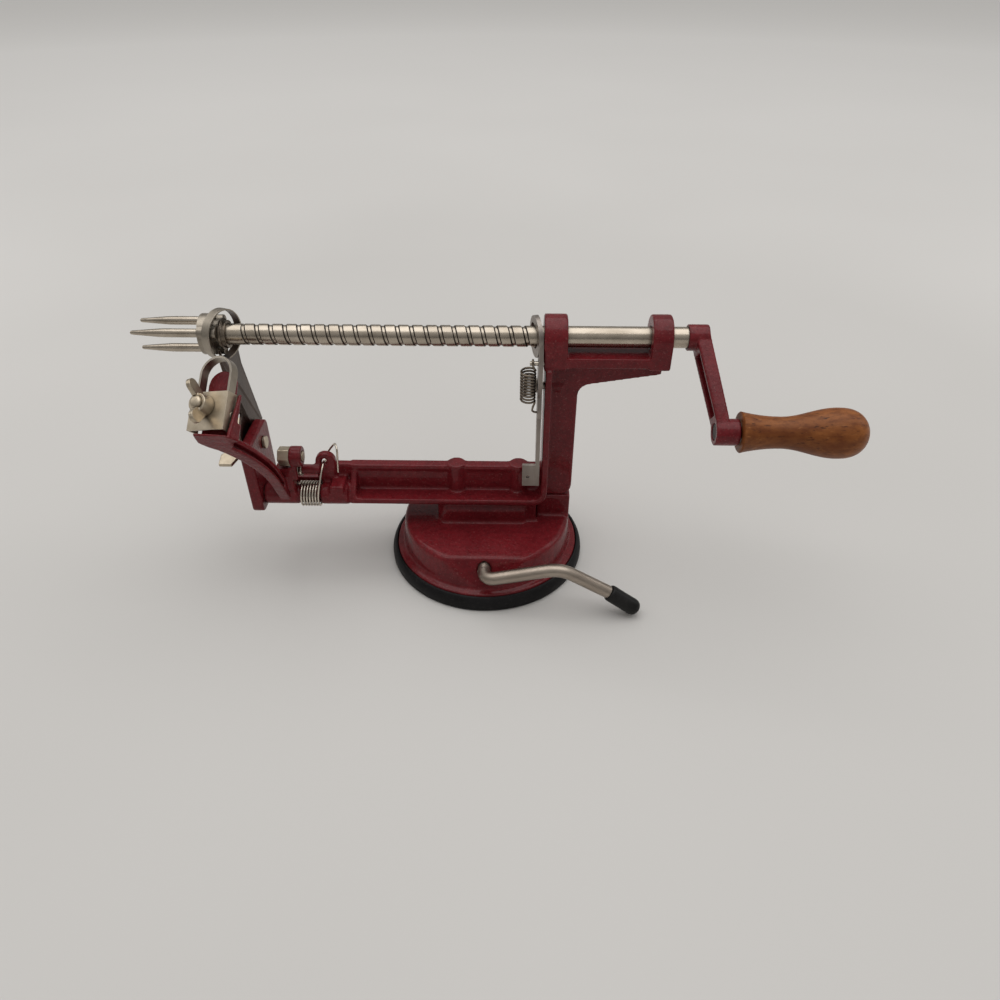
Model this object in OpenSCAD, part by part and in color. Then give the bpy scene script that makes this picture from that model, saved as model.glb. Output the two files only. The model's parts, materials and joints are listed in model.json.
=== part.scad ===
// Apple peeler, hand cranked, on a suction foot. Millimetres.
// Origin at the centre of the foot on the table, +X towards the crank,
// -Y towards the person at the handle, +Z up. Drawn with the shaft fed fully to the left.

/* [Drive shaft] */
// Diameter of the shaft
shaft_d = 9.525; // [9:0.005:10]
// Height of the shaft above the table
shaft_z = 125; // [121:0.5:129]
// Left end of the shaft, inside the fork's hub
shaft_left = -125.5; // [-130:0.5:-123]
// Pitch of the helical groove
thread_pitch = 6.35; // [5.5:0.05:7]
// Left end of the groove
thread_left = -110; // [-112:0.5:-100]
// How far the groove runs past the release lever's tooth
thread_past = 2.7; // [2:0.1:5]
// Width of the groove
groove_w = 2.2; // [2:0.1:2.6]
// Depth of the groove
groove_depth = 0.9; // [0.8:0.05:1.2]

/* [Fits] */
// Radial clearance of parts that turn or slide
run_gap = 0.05; // [0.02:0.01:0.09]
// Clearance between parts that must not touch
clear_gap = 0.5; // [0.3:0.05:0.8]
// Clearance along an axis between parts that turn on each other
end_gap = 0.3; // [0.2:0.05:0.5]

/* [Frame] */
// Left face of the left bearing head
head_left_x = 27; // [25:0.5:29]
// Length of the left bearing head
head_left_len = 10.6; // [9:0.1:12]
// Left face of the right bearing head
head_right_x = 75; // [70:0.5:78]
// Length of the right bearing head
head_right_len = 9.2; // [8:0.1:11]
// Radius of both bearing heads
head_r = 10.2; // [9.5:0.1:11.5]
// Depth of the heads below the shaft's axis
head_drop = 12; // [11.5:0.1:13]
// Left end of the bar's channel
bar_left = -69; // [-70:0.5:-66]
// Underside of the bar, on the base's platform
bar_bottom = 36.8; // [35.5:0.1:38]
// Height of the bar
bar_h = 17.8; // [16:0.1:19]
// Thickness of the bar's and upright's web
web_t = 4; // [3.4:0.1:5]
// Thickness of the bar's and upright's flanges
flange_t = 3; // [2.6:0.1:3.6]
// Half width of the flanges
flange_y = 12; // [11.5:0.1:13]
// Outer radius of the corner between bar and upright
flange_corner_r = 7; // [6:0.5:8]
// Width of the upright's web, from its flange's left face
upright_w = 16; // [14:0.5:18]
// Diameter of the two screw columns on the bar
column_d = 9.5; // [8.5:0.1:11]
// Thickness of the left post
post_t = 5.8; // [5:0.1:6.4]
// Left face of the left post
post_x = -118.5; // [-119:0.1:-118]
// Front edge of the left post
post_front = -16.6; // [-17:0.1:-15]
// Back edge of the left post
post_back = 14; // [11:0.5:15]
// Lower edge of the left post
post_bottom = 34; // [32:0.5:35]
// Upper edge of the left post
post_top = 73; // [71:0.5:77]
// Place of the spring lug along the bar
lug_x = -81; // [-82:0.1:-80]
// Height of the spring lug's centre
lug_z = 57.3; // [56:0.1:60]
// Radius of the spring lug
lug_r = 5.1; // [4.8:0.1:5.6]
// Thickness of the spring lug
lug_t = 4; // [3.4:0.1:4.6]

/* [Arm pivot] */
// Pivot axis of the peeling arm, front to back
pivot_y = -8; // [-9:0.1:-7.5]
// Height of the arm's pivot axis
pivot_z = 40.6; // [40:0.1:41.5]
// Diameter of the arm's pivot pin
pivot_d = 6; // [5:0.1:6.4]
// Diameter of the pivot boss on the frame
pivot_boss_d = 10.8; // [10:0.1:11]
// Left end of the frame's pivot boss
pivot_boss_left = -84; // [-84.6:0.1:-83.6]

/* [Base] */
// Radius of the rubber foot
foot_r = 51.1; // [48:0.1:54]
// Height of the rubber foot
foot_h = 8.2; // [7.6:0.1:9]
// Width of the rubber lip round the cover
foot_lip = 2.9; // [2.6:0.1:3.6]
// Width of the cover's flange
cover_flange_w = 3.8; // [3:0.1:4.6]
// How far the cover's wall leans in
cover_draft = 1.6; // [1.2:0.1:2.4]
// Height of the cover's shoulder
cover_top_z = 24; // [23:0.1:24.5]
// Height of the low pad in front of the platform
pad_top = 32.4; // [30:0.1:34]
// Thickness of the cover's flange
cover_flange_t = 3; // [2.5:0.1:3.4]
// Thickness of the cover's wall
cover_wall_t = 3; // [2.6:0.1:3.2]

/* [Vacuum lever] */
// Diameter of the lever's rod
lever_d = 6.35; // [6:0.05:6.6]
// Height of the lever's axle
lever_z = 18.6; // [18:0.1:19]
// Diameter of the cam on the axle
lever_cam_d = 10; // [9.6:0.1:10.2]
// How far the cam lies off the axle
lever_cam_offset = 1.25; // [1:0.05:1.3]
// Diameter of the black grip
lever_grip_d = 8.4; // [8:0.1:9]

/* [Peeling arm] */
// Diameter of the arm's hub on the pivot
hub_d = 10.8; // [10:0.1:11]
// Diameter of the sleeve inside the torsion spring
sleeve_d = 9.6; // [9:0.1:9.6]
// Width of the blade holder
holder_w = 19; // [17:0.1:20]
// Height of the blade holder
holder_h = 17.5; // [16:0.1:18.5]
// Depth of the blade holder
holder_depth = 6.2; // [5.8:0.1:6.8]
// Thickness of the holder's sheet
holder_t = 1; // [0.8:0.05:1.2]
// Thickness of the peeling blade
blade_t = 1; // [0.8:0.05:1.2]
// Breadth of the peeling blade's strap
blade_breadth = 4.3; // [3.6:0.1:4.6]
// Top of the peeling blade above the holder's middle
blade_top = 26; // [24:0.1:26.4]
// Diameter of the holder's stud
stud_d = 5.5; // [5:0.1:6]

/* [Slicer] */
// Clearance between the corer ring and the fork's lobes
ring_gap = 0.8; // [0.6:0.05:1]
// Thickness of the corer ring
ring_t = 0.8; // [0.6:0.05:1]
// Length of the corer ring
ring_len = 6; // [5:0.1:7]
// Thickness of the slicing blade
slicer_t = 1.2; // [1:0.05:1.4]
// Place of the slicer's bolt, front to back
slicer_bolt_y = 3; // [1:0.1:4]
// Height of the slicer's bolt
slicer_bolt_z = 64.4; // [63.6:0.1:65.4]
// Diameter of the slicer's bolt
slicer_bolt_d = 5; // [4.5:0.1:5.5]

/* [Fork] */
// Radius of the circle that the prongs stand on
prong_r = 7; // [6.6:0.1:7.4]
// Diameter of a prong
prong_d = 3.9; // [3.4:0.1:4.2]
// Free length of the prongs in front of the hub
prong_len = 30.5; // [26:0.5:32]
// Length of the fork's hub
fork_hub_len = 8.3; // [7.6:0.1:9]
// Diameter of the hub's lobe round each prong
lobe_d = 5.8; // [5.4:0.1:6.2]

/* [Crank] */
// Distance from the shaft's axis to the handle's axis
crank_r = 43.5; // [40:0.5:48]
// Angle of the crank below the horizontal
crank_angle = 44.4; // [35:0.2:55]
// Left face of the crank's hub
crank_hub_x = 91.6; // [88:0.1:95]
// Length of the crank's hub
crank_hub_len = 9.4; // [8:0.1:11]
// Diameter of the crank's hub
crank_hub_d = 11.8; // [11.4:0.1:13.5]
// Thickness of the crank arm
crank_t = 5.6; // [5:0.1:6.4]
// Width of the crank arm
crank_w = 10.8; // [10:0.1:11]
// How far the crank arm leans outwards
crank_lean = 6.5; // [5:0.1:8]
// Diameter of the boss that holds the handle's pin
crank_boss_d = 12; // [11.7:0.1:13.5]
// Length of that boss
crank_boss_len = 10.6; // [9.5:0.1:12]
// Length of the wooden handle
handle_len = 56.6; // [54:0.2:64]
// Diameter of the handle's pin
handle_pin_d = 5; // [4.4:0.1:5.6]
// Length of the handle's pin inside the handle
handle_pin_len = 44; // [36:0.5:46]

/* [Release lever] */
// Thickness of the release lever's plate
plate_t = 2; // [1.6:0.1:2.2]
// Depth of the lever's pivot below the shaft's axis
release_drop = 25; // [24:0.1:26]
// Diameter of the lever's pivot screw
release_pin_d = 3.5; // [3:0.1:4]
// Front face of the flap
flap_front = -11; // [-11.6:0.1:-10.4]
// Width of the flap
flap_w = 8.4; // [7.5:0.1:9.5]

/* [Springs] */
// Wire of the torsion spring
torsion_wire = 1.05; // [0.9:0.01:1.08]
// Middle radius of the torsion spring's turns
torsion_r = 6.1; // [6:0.02:6.3]
// Left end of the torsion spring's coil
torsion_left = -94.5; // [-94.6:0.05:-94.4]
// Distance from turn to turn of the torsion spring
torsion_pitch = 1.45; // [1.42:0.01:1.46]
// Turns of the torsion spring
torsion_turns = 6.75; // [5.75:1:6.75]
// Wire of the release lever's spring
release_wire = 1; // [0.9:0.02:1.1]
// Middle radius of the release spring's turns
release_coil_r = 3.25; // [3:0.05:3.4]
// Distance from turn to turn of the release spring
release_coil_pitch = 1.54; // [1.5:0.01:1.58]
// Turns of the release spring
release_coil_turns = 10; // [8:1:10]
// Place of the release spring, front to back
release_coil_y = -9.5; // [-10:0.1:-9]

/* [Hidden] */
$fn = 48;

red = [0.42, 0.09, 0.12];
steel = [0.72, 0.71, 0.68];
rubber = [0.06, 0.06, 0.06];
wood = [0.45, 0.2, 0.08];

// Points along an arc, for outlines.
function arc(cx, cy, r, a0, a1, n = 6) =
    [for (i = [0:n]) let (a = a0 + (a1 - a0) * i / n) [cx + r * cos(a), cy + r * sin(a)]];
function unit(v) = v / norm(v);

// A round bar along +X.
module along_x(d, x0, x1, y = 0, z = 0) {
    translate([x0, y, z]) rotate([0, 90, 0]) cylinder(d = d, h = x1 - x0);
}

// A round bar along +Y.
module along_y(d, y0, y1, x = 0, z = 0) {
    translate([x, y0, z]) rotate([-90, 0, 0]) cylinder(d = d, h = y1 - y0);
}

// A plate square to X, from an outline in Y and Z.
module plate_x(x0, t, pts) {
    translate([x0, 0, 0]) rotate([90, 0, 90]) linear_extrude(t) polygon(pts);
}

// A plate square to Y, from an outline in X and Z.
module plate_y(y0, t, pts) {
    translate([0, y0 + t, 0]) rotate([90, 0, 0]) linear_extrude(t) polygon(pts);
}

// A box by its two corners.
module block(a, b) {
    translate(a) cube(b - a);
}

// Wire: a six sided tube along a list of points, with a frame carried along the path.
function path_dir(p, i) = unit(p[min(i + 1, len(p) - 1)] - p[max(i - 1, 0)]);
function carry(n, t) = unit(n - (n * t) * t);
function frames(p, n0) = [for (i = 0, n = carry(n0, path_dir(p, 0)); i < len(p); i = i + 1,
    n = i < len(p) ? carry(n, path_dir(p, i)) : n) n];
module wire(p, d, n0, sides = 6) {
    f = frames(p, n0);
    pts = [for (i = [0:len(p) - 1]) let (t = path_dir(p, i), b = cross(t, f[i]))
        for (k = [0:sides - 1]) p[i] + d / 2 * (cos(360 * k / sides) * f[i] + sin(360 * k / sides) * b)];
    last = (len(p) - 1) * sides;
    polyhedron(points = pts, faces = concat(
        [for (i = [0:len(p) - 2], k = [0:sides - 1]) let (a = i * sides + k, b = i * sides + (k + 1) % sides)
            each [[a, a + sides, b], [b, a + sides, b + sides]]],
        [[for (k = [0:sides - 1]) k]], [[for (k = [sides - 1:-1:0]) last + k]]), convexity = 8);
}
// Least free gap between turns: centre points that lie more than half a turn apart.
function self_gap(p, d, skip) = min([for (i = [0:len(p) - 1], j = [i:len(p) - 1])
    if (j - i >= skip) norm(p[i] - p[j])]) - d;

// Frame: bar, upright, bed with two bearing heads, left post and pivot block in one casting.
bar_top = bar_bottom + bar_h;
column_x = [-15, 16.6];
column_top = bar_top + 0.8;
upright_x = head_left_x + 1;
upright_right = upright_x + upright_w;
head_bottom = shaft_z - head_drop;
bed_top = shaft_z - shaft_d / 2 - 1.8;
bed_bottom = head_bottom + 0.5;
rib_left_z = head_bottom - 11.4;
rib_right_z = head_bottom - 6;
head_right_end = head_right_x + head_right_len;
plate_x = head_left_x - plate_t - 0.2;
release_z = shaft_z - release_drop;
lug_front = -4.5;
tail_y = [0, 6];
pivot_block_x = bar_left - 9.5;
tail_top = bar_bottom + 8.2;
boss_y = pivot_y + 2.5;
boss_z = lug_z - 3.3;
boss_d = 5;
boss_left = lug_x - 18;
spring_pin_y = release_coil_y + 0.8;
spring_pin_z = shaft_z - 9.1;
spring_pin_d = 2;
lug_hole_x = lug_x - 0.6;
lug_hole_d = 3.6;
lug_hole_z = lug_z - 0.8;
lug_hole_dip = 35;
// The spigot ends short of the spring's wire, and the coil turns in a round pocket.
boss_right = lug_hole_x - 1.6;
coil_room_d = 2 * torsion_r + torsion_wire + 1;

module bar_section() {
    block([bar_left - 15, -web_t / 2, bar_bottom], [upright_x + flange_t, web_t / 2, bar_top]);
    block([bar_left, -web_t / 2 - 0.9, bar_top - 2.6], [upright_x, web_t / 2 + 0.9, bar_top]);
    block([bar_left, -flange_y, bar_bottom],
        [upright_x + flange_t - flange_corner_r, flange_y, bar_bottom + flange_t]);
    intersection() {
        difference() {
            along_y(2 * flange_corner_r, -flange_y, flange_y,
                upright_x + flange_t - flange_corner_r, bar_bottom + flange_corner_r);
            along_y(2 * (flange_corner_r - flange_t), -flange_y - 1, flange_y + 1,
                upright_x + flange_t - flange_corner_r, bar_bottom + flange_corner_r);
        }
        block([upright_x + flange_t - flange_corner_r, -flange_y, bar_bottom],
            [upright_x + flange_t, flange_y, bar_bottom + flange_corner_r]);
    }
    for (x = column_x) translate([x, 0, bar_bottom]) cylinder(d = column_d, h = column_top - bar_bottom);
    // End rib that closes the channel on the left.
    plate_x(bar_left, flange_t, [[0, bar_top], [-flange_y, bar_bottom + flange_t], [-flange_y, bar_bottom],
        [0, bar_bottom]]);
}

module upright_section() {
    block([upright_x, -flange_y, bar_bottom + flange_corner_r], [upright_x + flange_t, flange_y, head_bottom]);
    plate_y(-web_t / 2, web_t, concat([[upright_x, bar_bottom]],
        arc(upright_right - 6, bar_bottom + 6, 6, -90, 0),
        arc(upright_right + 6, rib_left_z - 6, 6, 180, 97),
        [[head_right_end - 2, rib_right_z], [head_right_end - 2, bed_top - 1], [upright_x, bed_top - 1]]));
    block([upright_x, -head_r + 0.8, bed_bottom], [head_right_end - 2, head_r - 0.8, bed_top]);
    along_x(release_pin_d + 2.6, upright_x, upright_x + 9, 0, release_z);
}

module bearing_head(x, len) {
    along_x(2 * head_r, x, x + len, 0, shaft_z);
    block([x, -head_r, head_bottom], [x + len, head_r, shaft_z]);
}

module pivot_section() {
    block([pivot_block_x, pivot_y + 2, bar_bottom], [bar_left, web_t / 2, pivot_z + pivot_boss_d / 2]);
    along_x(pivot_boss_d, pivot_boss_left - 0.5, bar_left - 1, pivot_y, pivot_z);
    // Square boss on the pivot's right end.
    block([pivot_block_x, pivot_y - pivot_boss_d / 2, bar_bottom + 2.4],
        [bar_left - 2.4, web_t / 2, pivot_z + 7.6]);
    // Spring lug with its spigot, which the arm stops against.
    plate_y(lug_front, lug_t, concat([[lug_x + lug_r, tail_top - 2]], arc(lug_x, lug_z, lug_r, 0, 180, 12),
        [[lug_x - lug_r, tail_top - 2]]));
    block([lug_x - lug_r, lug_front, bar_bottom + 3], [bar_left - 3, tail_y[1], tail_top]);
    along_x(boss_d, boss_left, boss_right, boss_y, boss_z);
    block([lug_x - lug_r, lug_front - 1, boss_z - 2], [boss_right - 0.5, lug_front + 1, boss_z + 2]);
    block([post_x + post_t - 1, tail_y[0], bar_bottom], [bar_left - 14, tail_y[1], tail_top]);
}

module post_section() {
    plate_x(post_x, post_t, concat(arc(post_front + 3, post_bottom + 3, 3, 180, 270, 4),
        arc(post_back - 5, post_bottom + 5, 5, -90, 0, 4), arc(post_back - 4, post_top - 4, 4, 0, 90, 4),
        arc(post_front + 6, post_top - 6, 6, 90, 180, 4)));
}

module frame() {
    color(red) difference() {
        union() {
            bar_section();
            upright_section();
            bearing_head(head_left_x, head_left_len);
            bearing_head(head_right_x, head_right_len);
            pivot_section();
            post_section();
        }
        along_x(shaft_d + 2 * run_gap, head_left_x - 1, head_right_end + 1, 0, shaft_z);
        along_x(pivot_d, post_x - 1, bar_left - 3, pivot_y, pivot_z);
        along_x(coil_room_d, arm_right, pivot_boss_left, pivot_y, pivot_z);
        along_x(slicer_bolt_d, post_x - 1, post_x + post_t + 1, slicer_bolt_y, slicer_bolt_z);
        along_x(release_pin_d, upright_x - 1, upright_x + 8, 0, release_z);
        along_x(spring_pin_d, head_left_x - 1, head_left_x + 5, spring_pin_y, spring_pin_z);
        // The hole in the lug dips to the back.
        translate([lug_hole_x, lug_front + lug_t / 2, lug_hole_z]) rotate([-lug_hole_dip, 0, 0])
            along_y(lug_hole_d, -lug_t, lug_t, 0, 0);
        for (x = column_x) translate([x, 0, bar_bottom - 1]) cylinder(d = screw_d, h = 13);
    }
}

// Base: cast cover, rubber cup, pull stud and the two screws into the bar's columns.
cover_r = foot_r - foot_lip;
cover_wall_r = cover_r - cover_flange_w;
cover_top_r = cover_wall_r - cover_draft;
lip_gap = 0.25;
screw_d = 4;
screw_head_d = 8;
screw_head_h = 2.6;
platform_x = [-25, 26];
rear_block_x = [26, upright_right - 0.4];
platform_y = [-8.4, 12];
pad_front = -10.3;
pad_foot_x = [-24.4, 20.4];
pad_top_x = [-20.4, 19.7];
block_y = [-3, 17.4];
// The facet at the front leans back from the flange to the top.
facet_tilt = 24.5;
roof_z = bar_bottom - cover_wall_t;
yoke_x = 8.6;
yoke_y = 4;
yoke_top = lever_z + lever_cam_d / 2 - lever_cam_offset + 0.1;

module cover_shell(out) {
    rotate_extrude($fn = 96) polygon(out ?
        [[0, foot_h - cover_flange_t], [cover_r, foot_h - cover_flange_t], [cover_r, foot_h],
         [cover_wall_r + 0.6, foot_h + 0.6], [cover_wall_r, foot_h + 1.4],
         [cover_top_r + 0.6, cover_top_z - 1.4], [cover_top_r - 1, cover_top_z], [0, cover_top_z]] :
        [[0, 0], [cover_wall_r - cover_wall_t, 0], [cover_wall_r - cover_wall_t, foot_h],
         [cover_top_r - cover_wall_t, cover_top_z - cover_wall_t], [0, cover_top_z - cover_wall_t]]);
}

module platform(inset = 0) {
    block([platform_x[0] + inset, platform_y[0] + inset, cover_top_z - 4 - inset],
        [platform_x[1], platform_y[1] - inset, bar_bottom - inset]);
}

module facet_cut(near, far) {
    translate([0, -cover_wall_r - 0.1, foot_h + 1.4]) rotate([-facet_tilt, 0, 0])
        translate([-60, near, -20]) cube([120, far - near, 60]);
}

module base_cover() {
    color(red) difference() {
        union() {
            difference() {
                union() {
                    cover_shell(true);
                    platform();
                    // Low pad on the platform's front.
                    plate_y(pad_front, platform_y[0] - pad_front + 1, [[pad_foot_x[0], cover_top_z - 1],
                        [pad_foot_x[1], cover_top_z - 1], [pad_top_x[1], pad_top], [pad_top_x[0], pad_top]]);
                    // Taller block under the upright.
                    intersection() {
                        block([rear_block_x[0] - 1, block_y[0], cover_top_z - 3],
                            [rear_block_x[1], block_y[1], bar_bottom]);
                        translate([0, 0, cover_top_z - 4]) cylinder(r = cover_wall_r, h = 20, $fn = 96);
                    }
                }
                cover_shell(false);
                platform(cover_wall_t);
                intersection() {
                    facet_cut(-20, 0);
                    block([-60, -60, foot_h + 1.4], [60, 0, 60]);
                }
            }
            // Inner boss for the lever's far end, and the wall behind the front facet.
            block([-6, yoke_y + 3, lever_z - 6], [6, yoke_y + 11, cover_top_z - 1]);
            intersection() {
                block([-10, -cover_wall_r, lever_z - 7], [10, -cover_top_r + 9, cover_top_z - 1]);
                cover_shell(true);
                facet_cut(0, 60);
            }
        }
        along_y(lever_d + 2 * run_gap, -cover_r, yoke_y + axle_past + 0.4, 0, lever_z);
        for (x = column_x) translate([x, 0, roof_z - 4]) cylinder(d = screw_d, h = 10);
    }
}

module suction_cup() {
    color(rubber) rotate_extrude($fn = 96) polygon([[stud_hole_r, cup_hollow], [cup_web_r, cup_hollow],
        [foot_r - cup_rim_w - 3, cup_hollow / 2], [foot_r - cup_rim_w, 0], [foot_r - 0.8, 0],
        [foot_r, 0.8], [foot_r, 4], [foot_r - 1.2, foot_h - 1.4], [foot_r - 2, foot_h - 0.4],
        [cover_r + lip_gap, foot_h - 0.4], [cover_r + lip_gap, foot_h - cover_flange_t - 0.05],
        [cover_wall_r - cover_wall_t, foot_h - cover_flange_t - 0.05],
        [cup_web_r + 2, cup_hollow + cup_web_t], [stud_hole_r, cup_hollow + cup_web_t]]);
}
// The cup's rim on the table, and the web that the stud lifts.
cup_rim_w = 8.1;
cup_web_r = foot_r - cup_rim_w - 9;
cup_hollow = 2.4;
cup_web_t = 2.2;
pull_shank_d = 8;
stud_hole_r = pull_shank_d / 2 + 0.3;

module suction_stud() {
    color(steel) difference() {
        union() {
            translate([0, 0, cup_hollow - 0.4]) cylinder(d = pull_shank_d, h = 8);
            translate([0, 0, cup_hollow + cup_web_t + 0.3]) cylinder(d = pull_shank_d + 14, h = 1.6);
            block([-yoke_x, -yoke_y, 6.4], [yoke_x, yoke_y, yoke_top + 3]);
        }
        block([-yoke_x + 2, -yoke_y - 1, lever_z - lever_cam_d / 2 - lever_cam_offset - 3.2],
            [yoke_x - 2, yoke_y + 1, yoke_top]);
    }
}

screw_reach = 11.5;
module frame_screws() {
    color(steel) for (x = column_x) {
        translate([x, 0, roof_z - screw_head_h]) cylinder(d = screw_head_d, h = screw_head_h);
        translate([x, 0, roof_z - 0.5]) cylinder(d = screw_d, h = cover_wall_t + screw_reach);
    }
}

// Vacuum lever: axle through the cover, cam in the stud's yoke, bent arm outside.
lever_out = cover_wall_r + 3.6;
lever_bend_r = 5.5;
lever_corners = [[0, lever_bend_r + 0.3 - lever_out, lever_z], [0, -lever_out, lever_z],
    [37.2, -lever_out - 0.2, lever_z + 8.3], [61.2, -lever_out - 1.6, lever_z - 5.3]];
axle_past = 8.6;
lever_sides = 16;
// The bent bar's flats lie just outside the round axle.
lever_bar_d = lever_d / cos(180 / lever_sides) + 0.06;
grip_start = lever_corners[3];
grip_end = grip_start + [15.2, -1.9, -10.2];
// A route with its corners rounded by a curve that starts one bend radius before each corner.
function rounded(p, r, n = 6) = concat([p[0]], [for (i = [1:len(p) - 2], k = [0:n]) let (u = k / n,
    a = p[i] + r * unit(p[i - 1] - p[i]), b = p[i] + r * unit(p[i + 1] - p[i]))
    (1 - u) * (1 - u) * a + 2 * u * (1 - u) * p[i] + u * u * b], [p[len(p) - 1]]);

module rod(a, b, d) {
    v = b - a;
    translate(a) rotate([0, acos(v[2] / norm(v)), atan2(v[1], v[0])]) cylinder(d = d, h = norm(v), $fn = 24);
}

module vacuum_lever() {
    color(steel) {
        along_y(lever_d, lever_corners[0][1] - 0.5, yoke_y + axle_past, 0, lever_z);
        along_y(lever_cam_d, -yoke_y + 0.6, yoke_y - 0.6, 0, lever_z - lever_cam_offset);
        wire(rounded(lever_corners, lever_bend_r), lever_bar_d, [0, 0, 1], lever_sides);
        rod(grip_start - unit(grip_end - grip_start), grip_end - unit(grip_end - grip_start) * 4, lever_d - 1.4);
    }
}

module lever_grip() {
    v = grip_end - grip_start;
    core_r = lever_d / 2 - 0.7;
    end_r = lever_grip_d / 2;
    long = norm(v);
    color(rubber) translate(grip_start) rotate([0, acos(v[2] / long), atan2(v[1], v[0])]) rotate_extrude($fn = 24)
        polygon(concat([[core_r, 0.4], [end_r, 0.4]], arc(0, long - end_r, end_r, 0, 90, 5),
            [[0, long - 4], [core_r, long - 4]]));
}

// Shaft with one helical groove, right handed, that the release lever's tooth runs in.
tooth_x = plate_x + plate_t / 2;
thread_right = tooth_x + thread_past;
shaft_right = crank_hub_x + crank_hub_len;
groove_steps = 12;
groove_turns = (thread_right - thread_left) / thread_pitch;
function groove_x(a) = tooth_x + thread_pitch * (a - 180) / 360;
groove_a0 = 180 + 360 * (thread_left - tooth_x) / thread_pitch;
module groove() {
    r_in = shaft_d / 2 - groove_depth;
    r_out = shaft_d / 2 + 1;
    n = ceil(groove_turns * groove_steps);
    prof = [[-groove_w / 2, r_in], [groove_w / 2, r_in],
        [groove_w / 2 + 0.3, r_out], [-groove_w / 2 - 0.3, r_out]];
    pts = [for (i = [0:n], q = prof) let (a = groove_a0 + 360 * i / groove_steps)
        [groove_x(a) + q[0], q[1] * cos(a), shaft_z + q[1] * sin(a)]];
    polyhedron(points = pts, faces = concat(
        [for (i = [0:n - 1], k = [0:3]) let (a = 4 * i + k, b = 4 * i + (k + 1) % 4)
            each [[a, a + 4, b], [b, a + 4, b + 4]]],
        [[0, 1, 2, 3]], [[4 * n + 3, 4 * n + 2, 4 * n + 1, 4 * n]]), convexity = 10);
}

module drive_shaft() {
    color(steel) difference() {
        along_x(shaft_d, shaft_left, shaft_right, 0, shaft_z);
        groove();
    }
}

// Loose washers behind the fork.
fork_hub_left = shaft_left - 2;
fork_hub_right = fork_hub_left + fork_hub_len;
prong_seat = 6;
washer_left = fork_hub_right + 0.1;
washer_len = 3;
module stop_washer() {
    color(steel) difference() {
        union() {
            along_x(14.4, washer_left, washer_left + 1.2, 0, shaft_z);
            along_x(12.6, washer_left + 1.2, washer_left + washer_len, 0, shaft_z);
        }
        along_x(shaft_d + 2 * run_gap, washer_left - 1, washer_left + washer_len + 1, 0, shaft_z);
    }
}

prong_angles = [32, 152, 272];
prong_point = 15;
prong_tip_d = 1.8;
module fork_hub() {
    color(steel) difference() {
        union() {
            along_x(13, fork_hub_left, fork_hub_right, 0, shaft_z);
            along_x(2 * prong_r + 4.4, fork_hub_left, fork_hub_left + 5.4, 0, shaft_z);
            for (a = prong_angles)
                along_x(lobe_d, fork_hub_left, fork_hub_right, prong_r * cos(a), shaft_z + prong_r * sin(a));
        }
        along_x(shaft_d, shaft_left, fork_hub_right + 1, 0, shaft_z);
        for (a = prong_angles)
            along_x(prong_d, fork_hub_left - 1, fork_hub_left + prong_seat,
                prong_r * cos(a), shaft_z + prong_r * sin(a));
    }
}

module fork_prongs() {
    color(steel) for (a = prong_angles)
        translate([fork_hub_left + prong_seat, prong_r * cos(a), shaft_z + prong_r * sin(a)])
            rotate([0, -90, 0]) {
            cylinder(d = prong_d, h = prong_seat + prong_len - prong_point);
            translate([0, 0, prong_seat + prong_len - prong_point])
                cylinder(d1 = prong_d, d2 = prong_tip_d, h = prong_point);
        }
}

// Crank: hub on the shaft, leaning arm with a recess in its inner face, boss for the handle's pin.
crank_y = -crank_r * cos(crank_angle);
crank_z = shaft_z - crank_r * sin(crank_angle);
crank_hub_end = crank_hub_x + crank_hub_len;
crank_boss_x = crank_hub_end - crank_t + 0.6 + crank_lean;
handle_x = crank_boss_x + crank_boss_len + clear_gap;

// Puts local +Z along the crank, with X kept.
module in_crank() {
    translate([0, 0, shaft_z]) rotate([180 - (90 - crank_angle), 0, 0]) children();
}

module crank_arm() {
    color(red) difference() {
        union() {
            along_x(crank_hub_d, crank_hub_x, crank_hub_end, 0, shaft_z);
            in_crank() translate([0, crank_w / 2, 0]) rotate([90, 0, 0]) linear_extrude(crank_w) polygon([
                [crank_hub_end - crank_t, -2], [crank_hub_end, -2], [crank_hub_end, 0],
                [crank_boss_x + crank_t, crank_r - 6], [crank_boss_x + crank_t, crank_r + 1],
                [crank_boss_x + 0.4, crank_r + 1], [crank_boss_x + 0.4, crank_r - 2], [crank_hub_end - crank_t, 5]]);
            along_x(crank_boss_d, crank_boss_x, handle_x - clear_gap, crank_y, crank_z);
        }
        along_x(shaft_d, crank_hub_x - 1, shaft_right, 0, shaft_z);
        along_x(handle_pin_d, crank_boss_x - 1, handle_x + 1, crank_y, crank_z);
        along_x(handle_pin_d + 2.6, crank_boss_x - 1, crank_boss_x + 1.6, crank_y, crank_z);
        in_crank() translate([0, crank_w / 2 - 2.2, 0]) rotate([90, 0, 0]) linear_extrude(crank_w - 4.4) polygon([
            [crank_hub_end - crank_t - 3, 8], [crank_hub_end - crank_t + 4, 8], [crank_boss_x + 2.6, crank_r - 7],
            [crank_boss_x - 3, crank_r - 7]]);
    }
}

pin_right = handle_x + handle_pin_len;
module handle_pin() {
    color(steel) {
        along_x(handle_pin_d, crank_boss_x + 0.4, pin_right, crank_y, crank_z);
        along_x(handle_pin_d + 2.4, crank_boss_x + 0.4, crank_boss_x + 1.6, crank_y, crank_z);
    }
}

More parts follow.
